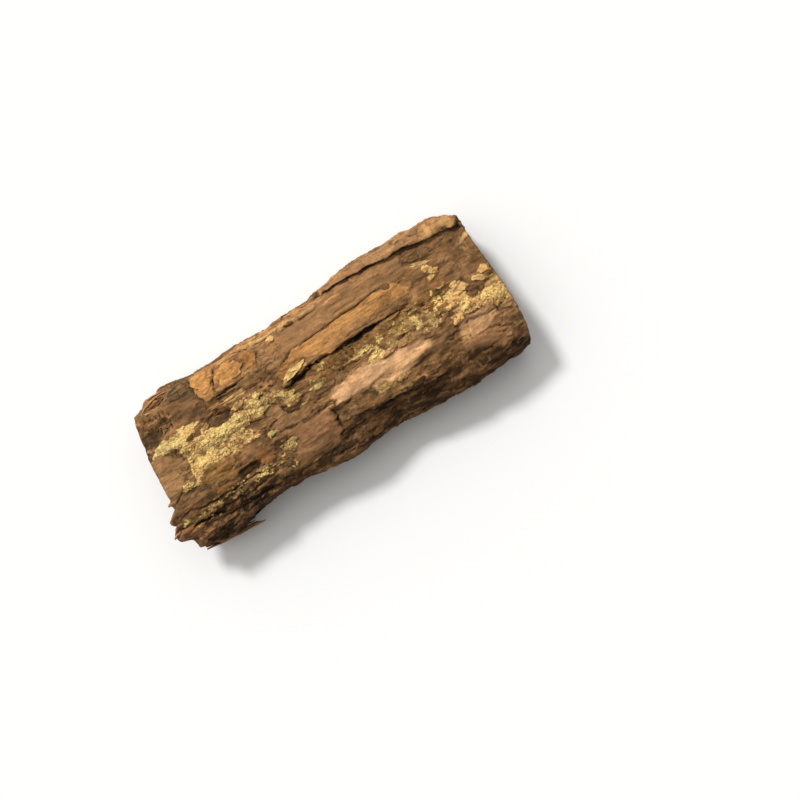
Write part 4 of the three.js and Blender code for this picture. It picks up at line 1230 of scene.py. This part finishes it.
barkFinish = {
    "streak": 1.3,
    "speckle": 1.1,
    "brightness": 1.0,
    # painted highlight on raised points and painted shade in hollows, through the cavity value
    "ridgeLightAndHollowShade": 0.2,
    "darkLayer": 0.24,
    "lightLayer": 0.16,
    "paleGain": (1.3, 1.29, 1.24),
    "palePart": 0.6,
    "pitPart": 0.6,
    "pitTone": tuple(tone(140, 102, 58)),
    # painted shade in hollows and thin cracks: where it starts, how fast it grows, how dark, its tone and
    # how dark cracks go
    "creviceFrom": -0.2,
    "creviceSlope": 1.8,
    "creviceShade": 0.85,
    "creviceTone": tuple(tone(54, 37, 20)),
    "crackShade": 0.55,
    "crustBump": 0.6,
    "bump": 0.8,
    "bumpDepth": 0.0006,
    "layersPerMm": 1.5,
    "layerRun": 0.16,
    "layerContrast": 2.6,
    "layerBump": 2.4,
    "roughness": 0.84,
    "specular": 0.16,
}

fibreGroup = makeFibreGroup()
crustGroup = makeCrustGroup()
finishes = {"bark": barkMaterial("barkSurface", fibreGroup, crustGroup, barkFinish)}


def dress(piece, finish="bark"):
    piece.data.materials.append(finishes[finish])
    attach(piece, "root")


body = makeBody()
dress(body)
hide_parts("bark")
print("bark body:", len(body.data.polygons), "faces")


def ridgeSheet(x, across, top, thickness, look):
    # a closed sheet over the shell: top and underside grids in (x, across, height), joined all round
    upper = placeOnShell(x, across, top)
    lower = placeOnShell(x, across, top - thickness)
    rows, columns = x.shape
    index = np.arange(2 * rows * columns).reshape(2, rows, columns)
    faces = [gridFaces(index[0]), gridFaces(index[1][:, ::-1])]
    faces += [gridFaces(pair) for pair in (index[:, 0], index[:, -1], index[:, :, 0], index[:, :, -1])]
    # painted light: the relief value gives raised points a painted highlight and hollows painted shade; the
    # underside is painted darker as shade, in its tint and its cavity
    relief = np.clip((top - boxBlur(top, 2)) / 0.25, -1, 1) * 0.5
    tint = look["tint"].reshape(-1, 3)
    crust = look["crust"].ravel()
    calm = look["calm"].ravel()
    attributes = {
        "tint": np.concatenate([tint, tint * 0.55]),
        "crustTint": np.tile(look["crustTint"].reshape(-1, 3), (2, 1)),
        "crust": np.concatenate([crust, crust * 0]),
        "calm": np.concatenate([calm, calm]),
        "cavity": np.concatenate([relief.ravel(), np.full(crust.size, -0.3)]),
    }
    return np.concatenate([upper.reshape(-1, 3), lower.reshape(-1, 3)]), faces, attributes


def joinParts(name, parts):
    # several (vertices, faces, attributes) sets as one mesh
    vertices, faces = [], []
    count = 0
    for partVertices, partFaces, _ in parts:
        vertices.append(partVertices)
        faces += [block + count for block in partFaces]
        count += len(partVertices)
    attributes = {key: np.concatenate([part[2][key] for part in parts]) for key in parts[0][2]}
    return newObject(name, np.concatenate(vertices), faces, attributes)


# Overhanging edges: where a layer ends, its edge stands out over the crack beside it
overhangs = {
    "middlePlate": {
        "line": [(-21, 6.5), (-12, 7.6), (-4, 10.2), (8, 10.6), (22, 12), (44, 10)],
        "fromX": -7.0, "toX": 42.0, "inward": 3.0, "outward": 0.9, "thickness": 0.9, "ragged": 0.7,
         "seed": 611,
    },
    "lipLayer": {
        "line": [(6, 33.5), (30, 33.4), (52, 32.4), (60, 31.2), (70, 30.6), (84, 28)],
        "fromX": 12.0, "toX": 79.4, "inward": 3.0, "outward": 2.3, "thickness": 0.8, "ragged": 0.45,
         "seed": 613, "endFade": 1.2,
    },
    "facetEdge": {
        "line": [(-17, 15.5), (-10, 19.2), (4, 20), (22, 21), (40, 23)],
        "fromX": -15.0, "toX": 38.0, "inward": 1.8, "outward": 0.25, "thickness": 0.4, "ragged": 0.35,
         "seed": 617,
    },
    "flakeBedEdge": {
        "line": [(-52, 17.5), (-44, 19), (-31, 20.2), (-22, 18)],
        "fromX": -49.0, "toX": -26.0, "inward": 1.8, "outward": 0.6, "thickness": 0.6, "ragged": 0.5,
         "seed": 619,
    },
    "flankEdge": {
        "line": [(-2, -17.4), (10, -17.6), (20, -18.6), (30, -20.5), (44, -22)],
        "fromX": 3.0, "toX": 40.0, "inward": 2.4, "outward": 0.9, "thickness": 0.8, "ragged": 0.8,
         "seed": 621,
    },
}


def makeOverhang(values):
    # across = line plus a step inward that shrinks to a ragged step outward; the top follows the
    # layer's own height, sinks into it at the back and rolls down over the edge
    rows = int((values["toX"] - values["fromX"]) / 0.5)
    run = np.linspace(values["fromX"], values["toX"], rows)
    v = np.linspace(0, 1, 12)
    x, share = np.meshgrid(run, v, indexing="ij")
    ends = smooth((run - run[0]) / 5) * smooth((run[-1] - run) / values.get("endFade", 5))
    seed = values["seed"]
    wobble = layeredNoise(run / 4.5, run * 0, seed, 4) + 0.35 * noise(run / 0.8, run * 0, seed + 5)
    wobble *= values["ragged"]
    line = readLine(values["line"], run)
    edgeAt = line - (values["outward"] + wobble) * ends + 0.4 * (1 - ends)
    backAt = line + values["inward"]
    across = backAt[:, None] + (edgeAt - backAt)[:, None] * share
    base, look = fullRelief(x, backAt[:, None] + (line + 0.7 - backAt)[:, None] * share)
    back = fullRelief(x, across)[0]
    blend = smooth((share - 0.15) / 0.3)
    top = back * (1 - blend) + boxBlur(base, 2) * blend + 0.22 * blend * noise(x / 9, across / 0.7, seed + 9)
    top = top - 0.35 * (1 - smooth(share / 0.3)) - 0.4 * np.maximum(share - 0.75, 0) ** 2 / 0.0625
    top = top + 0.12 * ends[:, None]
    top = top - 1.6 * (1 - ends[:, None]) * share
    thickness = values["thickness"] * (1 - 0.6 * smooth((share - 0.6) / 0.4))
    return ridgeSheet(x, across, top, thickness, look)


for overhangName, overhangValues in overhangs.items():
    dress(joinParts(overhangName, [makeOverhang(overhangValues)]))
print("overhanging edges:", len(overhangs))


# Loose plates and flakes, each a thin ragged disc that lies on the bark with its edges lifted
flakeShape = {"rings": 7, "spokes": 30, "ragged": 0.16, "seed": 7}
# middle (x, across), half length, half width, turn in degrees, thickness, lift, tone, gain
namedFlakes = [
    ((-12, 10.9), 5.6, 1.25, 14, 0.55, 0.5, "lichenWarm", 1.0),
    ((-39, 10.5), 2.7, 1.05, 6, 0.5, 0.5, "chip", 1.0),
    ((-14.2, 28.3), 1.5, 1.7, 0, 0.45, 0.3, "chip", 1.0),
    ((64.3, 29.6), 3.5, 0.6, -6, 0.4, 0.3, "chip", 1.0),
    ((-38.5, 15), 4.8, 0.6, 3, 0.4, 0.5, "chip", 1.0),
    ((-46.5, 14.9), 3.0, 0.7, -4, 0.5, 0.6, "orange", 1.0),
    ((-36, 24.2), 6.2, 3.4, 4, 0.7, 0.35, "orange", 1.0),
    ((-47.6, 27), 4.2, 4.6, 20, 0.7, 0.35, "orange", 1.02),
    ((-25.4, 24.6), 2.6, 3.4, -20, 0.5, 0.35, "ochre", 1.05),
    ((55.6, 19.2), 1.7, 1.3, 20, 0.28, 0.08, "chip", 1.1),
    ((58.7, 16.6), 1.5, 1.2, -10, 0.28, 0.08, "chip", 1.06),
    ((55.9, 14.9), 1.5, 0.9, 10, 0.28, 0.08, "chip", 1.06),
    ((57.2, 17.5), 1.3, 1.1, 60, 0.28, 0.08, "chip", 1.1),
    ((54.8, 22.1), 4.2, 0.7, -14, 0.25, 0.12, "chip", 0.9),
    ((62, 7.6), 1.5, 1.5, 0, 0.3, 0.08, "chip", 1.15),
    ((64.8, 5.2), 1.7, 1.5, 30, 0.3, 0.08, "chip", 1.15),
    ((72.6, 4.9), 2.7, 1.35, -24, 0.3, 0.08, "chip", 1.15),
    ((76.2, 7.2), 2.4, 1.5, 12, 0.3, 0.08, "chip", 1.15),
    ((-19.6, 10), 1.6, 0.8, 25, 0.4, 0.4, "brown", 1.0),
    ((-72, -1.6), 1.2, 5.4, 24, 0.35, 0.3, "tan", 1.0),
    ((17.4, -13.4), 3.4, 1.0, -4, 0.45, 0.3, "chip", 0.95),
    ((20.4, -0.4), 2.2, 0.8, 20, 0.4, 0.3, "lichenWarm", 1.05),
    ((-33, -5.9), 1.8, 0.8, -4, 0.35, 0.3, "lichen", 1.0),
]
looseFlakes = {"count": 110, "length": (0.8, 3.2), "width": (0.4, 1.2), "thickness": 0.35, "lift": 0.45,
    "seed": 23}


def makeFlake(middle, halfLength, halfWidth, turn, thickness, lift, tint, draw):
    # polar grid: ragged superellipse outline, domed top, edges lifted on one side, flat underside
    rings, spokes = flakeShape["rings"], flakeShape["spokes"]
    angle = np.linspace(0, 2 * math.pi, spokes, endpoint=False)
    rag = np.zeros(spokes)
    for harmonic, size in ((2, 0.5), (3, 0.7), (5, 0.6), (8, 0.4), (11, 0.3)):
        rag += size * np.cos(harmonic * angle + draw.uniform(0, 6.28))
    cosA, sinA = np.cos(angle), np.sin(angle)
    radius = (np.abs(cosA) ** 2.6 + np.abs(sinA) ** 2.6) ** (-1 / 2.6) * (1 + flakeShape["ragged"] * rag)
    ring = np.linspace(0, 1, rings + 1)[:, None] ** 0.8
    u, v = ring * radius * cosA * halfLength, ring * radius * sinA * halfWidth
    t = math.radians(turn)
    x = middle[0] + u * math.cos(t) - v * math.sin(t)
    across = middle[1] + u * math.sin(t) + v * math.cos(t)
    ground = fullRelief(x, across)[0]
    level = np.percentile(ground, 70)
    side = draw.uniform(0, 6.28)
    raised = lift * ring**2 * (0.5 + 0.5 * np.cos(angle - side))
    top = 0.6 * ground + 0.4 * level + 0.18 + 0.5 * thickness * (1 - ring**3) + raised
    under = top - thickness * (1.15 - 0.85 * ring)
    points = np.concatenate([placeOnShell(x, across, top), placeOnShell(x, across, under)])
    grid = np.arange(points.shape[0] * spokes).reshape(-1, spokes)
    grid = np.concatenate([grid, grid[:, :1]], axis=1)
    faces = [gridFaces(grid[: rings + 1]), gridFaces(grid[rings + 1 :][:, ::-1]),
             gridFaces(np.stack([grid[rings], grid[-1]]))]
    mottle = layeredNoise(x / 1.4 + 40, across / 0.7, 631, 3)
    colour = (tint * np.exp(0.4 * mottle + 0.1 * ring * np.ones(spokes))[..., None]).reshape(-1, 3)
    # painted light: the underside is painted at half brightness as shade and gets a low cavity value for
    # more painted shade; the rim gets a raised cavity value for a painted highlight
    attributes = {
        "tint": np.concatenate([colour, 0.5 * colour]),
        "crustTint": np.tile(0.8 * colour, (2, 1)),
        "crust": np.concatenate([np.full(x.size, 0.4), np.zeros(x.size)]),
        "calm": np.full(2 * x.size, 0.3),
        "cavity": np.concatenate([(0.35 * ring**4 * np.ones(spokes)).ravel(), np.full(x.size, -0.4)]),
    }
    return points.reshape(-1, 3), faces, attributes


def makeNamedFlakes():
    draw = np.random.default_rng(flakeShape["seed"])
    return [makeFlake(middle, length, width, turn, thick, lift, tones[toneName] * gain, draw)
            for middle, length, width, turn, thick, lift, toneName, gain in namedFlakes]


def makeLooseFlakes():
    values = looseFlakes
    draw = np.random.default_rng(values["seed"])
    x = draw.uniform(-80, 77, values["count"] * 3)
    across = draw.uniform(-38, 38, values["count"] * 3)
    look = paint(x, across, *bend(x, across))
    colour = look["tint"]
    keep = np.flatnonzero(look["calm"] < 0.5)[: values["count"]]
    parts = []
    for k in keep:
        length = draw.uniform(*values["length"])
        width = min(draw.uniform(*values["width"]), 0.7 * length)
        gain = draw.uniform(0.75, 1.2)
        parts.append(makeFlake((x[k], across[k]), length, width, draw.normal(0, 12), values["thickness"],
                               values["lift"], colour[k] * gain, draw))
    return parts


dress(joinParts("barkPlates", makeNamedFlakes()))
dress(joinParts("looseFlakes", makeLooseFlakes()))
print("plates and flakes:", len(namedFlakes) + looseFlakes["count"])


# Crust grains: small rounded lumps where the crust lies
grains = {"tries": 30000, "count": 3600, "radius": (0.16, 0.42), "height": (0.25, 0.55), "seed": 31}


def makeGrains():
    # one small closed lump, copied to each place with its own size, turn and tint, as whole arrays
    draw = np.random.default_rng(grains["seed"])
    x = draw.uniform(-82, 79, grains["tries"])
    across = draw.uniform(-30, 26, grains["tries"])
    height, look = fullRelief(x, across)
    keep = np.flatnonzero(look["crust"] > 0.45)[: grains["count"]]
    x, across, height, colour = x[keep], across[keep], height[keep], look["crustTint"][keep]
    count = len(keep)
    spokes = 6
    angle = np.arange(spokes) * 2 * math.pi / spokes
    template = [(0.0, 0.0, 1.0)]
    for level, width in ((0.62, 0.72), (0.0, 1.0)):
        template += [(width * math.cos(a), width * math.sin(a), level) for a in angle]
    template.append((0.0, 0.0, -0.5))
    template = np.array(template)
    k = np.arange(spokes)
    after = (k + 1) % spokes
    cap = np.stack([0 * k, 1 + k, 1 + after], -1)
    wall = np.stack([1 + k, 1 + spokes + k, 1 + spokes + after, 1 + after], -1)
    base = np.stack([1 + spokes + k, 0 * k + 2 * spokes + 1, 1 + spokes + after], -1)
    start = (np.arange(count) * len(template))[:, None, None]
    faces = [(block + start).reshape(-1, block.shape[1]) for block in (cap, wall, base)]
    size = draw.uniform(*grains["radius"], count)[:, None]
    turn = draw.uniform(0, 6.28, count)[:, None]
    stretch = draw.uniform(1, 2.4, count)[:, None]
    lump = template[None] * (1 + 0.28 * draw.uniform(-1, 1, (count, len(template), 1)))
    u = lump[..., 0] * size * stretch
    v = lump[..., 1] * size
    offX = u * np.cos(turn) - v * np.sin(turn)
    offA = u * np.sin(turn) + v * np.cos(turn)
    rise = height[:, None] - 0.05 + lump[..., 2] * size * draw.uniform(*grains["height"], count)[:, None]
    points = placeOnShell(x[:, None] + offX, across[:, None] + offA, rise)
    # painted light: each grain's top is lighter and its base darker, in its tint and again through its
    # cavity value
    topLight = 0.8 + 0.3 * np.maximum(template[:, 2], -0.3)
    gain = draw.uniform(0.7, 1.2, count)[:, None, None] * topLight[None, :, None]
    tint = (colour[:, None] * gain).reshape(-1, 3)
    attributes = {
        "tint": tint,
        "crustTint": tint,
        "crust": np.full(count * len(template), 0.3),
        "calm": np.full(count * len(template), 0.5),
        "cavity": np.tile(template[:, 2] * 0.5 - 0.05, count),
    }
    return points.reshape(-1, 3), faces, attributes


dress(joinParts("crustGrains", [makeGrains()]))
print("crust grains are laid")


# Splinter, end stubs and loose fibres: tapered strips carried along paths in (x, across, height)
def makeStrip(path, widths, thickness, tint, draw, steps=40, around=8, twist=0.0):
    # an oval section carried along a smoothed path, narrowing to its ends, with fibrous noise
    path = np.asarray(path, float)
    t = np.linspace(0, len(path) - 1, steps)
    centre = np.stack([np.interp(t, np.arange(len(path)), path[:, k]) for k in range(3)], -1)
    for _ in range(6):
        centre[1:-1] = 0.25 * centre[:-2] + 0.5 * centre[1:-1] + 0.25 * centre[2:]
    half = np.interp(t, np.linspace(0, len(path) - 1, len(widths)), widths)
    angle = np.arange(around) * 2 * math.pi / around
    phase = draw.uniform(0, 50)
    wobble = 1 + 0.22 * noise(t[:, None] * 3 + phase, angle[None, :] * 1.4 + phase, 641)
    turn = angle[None, :] + twist * t[:, None]
    offA = half[:, None] * np.cos(turn) * wobble
    offH = half[:, None] * np.sin(turn) * wobble * thickness
    x = np.repeat(centre[:, :1], around, 1)
    points = placeOnShell(x, centre[:, 1:2] + offA, centre[:, 2:3] + offH)
    grid = np.arange(steps * around).reshape(steps, around)
    grid = np.concatenate([grid, grid[:, :1]], axis=1)
    ends = points[[0, -1]].mean(axis=1)
    hub = np.full(around, steps * around)
    faces = [gridFaces(grid), np.stack([hub, grid[0, 1:], grid[0, :-1]], -1),
             np.stack([hub + 1, grid[-1, :-1], grid[-1, 1:]], -1)]
    streak = noise(t[:, None] * 1.5 + phase, angle[None, :] * 2 + phase, 643)
    colour = tint * np.exp(0.3 * streak)[..., None]
    colour = np.concatenate([colour.reshape(-1, 3), np.tile(tint, (2, 1))])
    total = steps * around + 2
    # painted light: the upper side of the strip gets a raised cavity value for a painted highlight and the
    # lower side a low one for painted shade
    attributes = {
        "tint": colour,
        "crustTint": colour,
        "crust": np.zeros(total),
        "calm": np.full(total, 0.2),
        "cavity": np.concatenate([(0.3 * np.sin(turn)).ravel(), np.zeros(2)]),
    }
    return np.concatenate([points.reshape(-1, 3), ends]), faces, attributes


splinterStrips = [  # path, half widths, thickness share, tone
    ([(-83.5, -37.4, 2.0), (-75, -38.4, 2.7), (-66, -39.2, 3.4), (-60, -39.3, 3.9),
     (-55.4, -39.3, 4.7)], [0.5, 1.2, 1.4, 1.15, 0.15], 0.75, "tan"),
    ([(-82, -39.4, 1.4), (-74, -41, 2.1), (-66, -42, 2.8),
     (-60, -42.4, 3.2)], [0.3, 1.0, 1.1, 0.2], 0.4, "pinkBrown"),
    ([(-79.6, 28.2, 0.3), (-75, 29.4, 0.6), (-70, 30.9, 0.7), (-65, 32, 0.5),
     (-60, 32.8, -0.1)], [0.3, 0.5, 0.6, 0.4, 0.15], 0.6, "fibre"),
    ([(-79, 31, 0.2), (-75, 32.4, 0.9), (-70, 33.4, 1.0), (-64, 34.2, 0.6),
     (-58.6, 35, -0.2)], [0.2, 0.5, 0.7, 0.5, 0.15], 0.6, "tan"),
    ([(-77, -15.8, -1.6), (-80.5, -16.4, -1.4), (-83.2, -17.2, -1.9)], [1.0, 1.5, 0.8], 0.9, "redBrown"),
    ([(-76, -22.6, -1.4), (-80, -23.2, -1.3), (-83.2, -24.4, -2)], [1.2, 1.7, 0.9], 0.9, "redBrown"),
    ([(-76, -20.6, -1.8), (-79.6, -20.8, -1.6), (-82.4, -20.4, -2)], [1.0, 1.3, 0.7], 0.9, "pinkBrown"),
    ([(-80, -9.6, -0.9), (-82.6, -9.8, -1.1), (-83.8, -10.4, -1.5)], [0.6, 0.9, 0.5], 0.9, "fibre"),
    ([(-81, -14.6, -0.6), (-82.6, -15.4, -0.4), (-83.6, -16.6, -0.8)], [0.5, 0.7, 0.3], 0.9, "pinkBrown"),
    ([(-80.6, -18.6, -1.0), (-82.4, -18.2, -1.2), (-83.8, -17.6, -1.6)], [0.5, 0.6, 0.2], 0.9, "brown"),
    ([(-80.6, -21.8, -0.4), (-82.6, -22.4, -0.4), (-84, -23.6, -1.0)], [0.6, 0.8, 0.3], 0.9, "pinkBrown"),
    ([(-80.4, -25, -0.8), (-82, -25.8, -1.0), (-83.4, -26.2, -1.6)], [0.5, 0.7, 0.3], 0.9, "brown"),
    ([(-4, -27.4, 0.3), (-6.4, -28.8, 0.8), (-7.2, -31, 0.9),
     (-6.8, -33.4, 0.4)], [0.1, 0.28, 0.3, 0.1], 0.8, "fibre"),
]
cornerFibres = {"count": 22, "x": (-79, -66), "across": (26.6, 38), "length": (7, 16), "half": (0.12,
    0.3), "rise": 0.16, "seed": 43}
fibres = {"count": 110, "length": (2.5, 8.0), "half": (0.07, 0.15), "lift": 0.35, "seed": 37}


def makeFibres():
    # thin hairs of bark, half of them along the cracks and the rest anywhere
    draw = np.random.default_rng(fibres["seed"])
    parts = []
    lines = [line for _, line, _, _ in cracks]
    for k in range(fibres["count"]):
        length = draw.uniform(*fibres["length"])
        if k % 2:
            line = lines[draw.integers(len(lines))]
            x = draw.uniform(max(line[0][0], -80), min(line[-1][0], 76))
            across = float(readLine(line, x)) + draw.normal(0, 0.8)
        else:
            x = draw.uniform(-80, 76)
            across = draw.uniform(-43, 43)
        lean = draw.normal(0, 0.12)
        u = np.linspace(-0.5, 0.5, 5) * length
        px = np.clip(x + u, -82, 79)
        pa = across + lean * u + draw.normal(0, 0.12, 5)
        ground = fullRelief(px, pa)[0]
        lift = fibres["lift"] * draw.uniform(0.2, 1) * np.abs(np.linspace(-1, 1, 5)) ** 2
        path = np.stack([px, pa, ground + 0.08 + lift], -1)
        half = draw.uniform(*fibres["half"])
        tint = tones["fibre"] * draw.uniform(0.6, 1.25)
        parts.append(makeStrip(path, [0.3 * half, half, half, 0.3 * half], 0.7, tint, draw, 14, 5))
    return parts


def makeCornerFibres():
    # the torn corner is a tuft of strands that run along the grain and spread a little as they go
    draw = np.random.default_rng(cornerFibres["seed"])
    parts = []
    for _ in range(cornerFibres["count"]):
        length = draw.uniform(*cornerFibres["length"])
        u = np.linspace(0, 1, 6)
        px = np.clip(draw.uniform(*cornerFibres["x"]) + u * length, -79.6, -54)
        pa = draw.uniform(*cornerFibres["across"]) + draw.uniform(0.14, 0.28) * u * length
        pa = pa + draw.normal(0, 0.05, 6)
        ground = fullRelief(px, pa)[0]
        level = 0.5 * (ground + ground.mean()) + draw.uniform(0, cornerFibres["rise"])
        path = np.stack([px, pa, level], -1)
        half = draw.uniform(*cornerFibres["half"])
        tint = tones["fibre"] * draw.uniform(0.5, 1.05)
        parts.append(makeStrip(path, [0.3 * half, half, half, 0.3 * half], 0.7, tint, draw, 24, 7))
    return parts


def makeSplinters():
    draw = np.random.default_rng(41)
    return [makeStrip(path, widths, thickness, tones[toneName], draw, 60, 14)
            for path, widths, thickness, toneName in splinterStrips]


dress(joinParts("splinters", makeSplinters()))
dress(joinParts("looseFibres", makeFibres() + makeCornerFibres()))
print("splinters and fibres are in place")


# Camera, light and floor
camera = {
    "grainTurn": 31.1,  # degrees that the grain climbs to the right in the picture
    "aim": (19.0, -21.5),  # the point of the drawing at the middle of the picture
    "foot": (19.0, 23.5),  # the point straight under the camera
    "crownPlane": 28.0,
    "distance": 545.0,
    "millimetresPerPixel": 0.409,
    "pictureWidth": 800,
    "sensor": 36.0,
}
studio = {
    "sunStrength": 2.3,
    "sunAngle": 10.0,
    "sunFrom": (-0.30, 0.97, 0.95),
    "skyColour": (1.0, 0.99, 0.97),
    "skyLow": 0.10,
    "skyHigh": 1.5,
    "floorColour": (0.93, 0.93, 0.92),
    "floorSize": 6.0,
}


def makeCamera():
    data = bpy.data.cameras.new("pictureCamera")
    data.sensor_width = camera["sensor"]
    pixels = camera["distance"] / camera["millimetresPerPixel"]
    data.lens = pixels / camera["pictureWidth"] * camera["sensor"]
    data.clip_start = 0.01
    piece = bpy.data.objects.new("pictureCamera", data)
    # the camera looks straight down and its lens is shifted, so that the aim stays in the middle
    turn = math.radians(camera["grainTurn"])
    right = Vector((math.cos(turn), -math.sin(turn), 0))
    up = Vector((math.sin(turn), math.cos(turn), 0))
    back = right.cross(up)
    moved = Vector((camera["foot"][0] - camera["aim"][0], camera["foot"][1] - camera["aim"][1], 0))
    width = camera["millimetresPerPixel"] * camera["pictureWidth"]
    data.shift_x = -moved.dot(right) / width
    data.shift_y = -moved.dot(up) / width
    piece.matrix_world = Matrix((
        (right.x, up.x, back.x, (camera["foot"][0] - drawnMiddle[0]) * mm),
        (right.y, up.y, back.y, (camera["foot"][1] - drawnMiddle[1]) * mm),
        (right.z, up.z, back.z, (camera["crownPlane"] + camera["distance"]) * mm),
        (0, 0, 0, 1),
    ))
    scene.collection.objects.link(piece)
    scene.camera = piece


def makeStudio():
    sunData = bpy.data.lights.new("softSun", "SUN")
    sunData.energy = studio["sunStrength"]
    sunData.angle = math.radians(studio["sunAngle"])
    sun = bpy.data.objects.new("softSun", sunData)
    sun.rotation_euler = Vector(studio["sunFrom"]).to_track_quat("Z", "Y").to_euler()
    scene.collection.objects.link(sun)
    world = bpy.data.worlds.new("paleSky")
    world.use_nodes = True
    tree = world.node_tree
    times, plus, minus = maths(tree)
    background = tree.nodes["Background"]
    background.inputs["Color"].default_value = (*studio["skyColour"], 1.0)
    direction = tree.nodes.new("ShaderNodeTexCoord")
    facing = addNode(tree, "ShaderNodeVectorMath", operation="DOT_PRODUCT")
    facing.inputs[1].default_value = Vector(studio["sunFrom"]).normalized()
    tree.links.new(direction.outputs["Generated"], facing.inputs[0])
    near = mathNode(tree, "POWER", mathNode(tree, "MAXIMUM", facing.outputs["Value"], 0.0), 2.0)
    near = times(near, studio["skyHigh"] - studio["skyLow"])
    tree.links.new(plus(near, studio["skyLow"]), background.inputs["Strength"])
    scene.world = world
    half = studio["floorSize"] / 2
    mesh = bpy.data.meshes.new("paleFloor")
    corners = [(-half, -half, 0), (half, -half, 0), (half, half, 0), (-half, half, 0)]
    mesh.from_pydata(corners, [], [(0, 1, 2, 3)])
    floor = bpy.data.objects.new("paleFloor", mesh)
    material = bpy.data.materials.new("paleFloor")
    material.use_nodes = True
    shader = material.node_tree.nodes["Principled BSDF"]
    shader.inputs["Base Color"].default_value = (*studio["floorColour"], 1.0)
    shader.inputs["Roughness"].default_value = 0.9
    mesh.materials.append(material)
    scene.collection.objects.link(floor)


makeCamera()
makeStudio()
print("camera, light and floor are set")
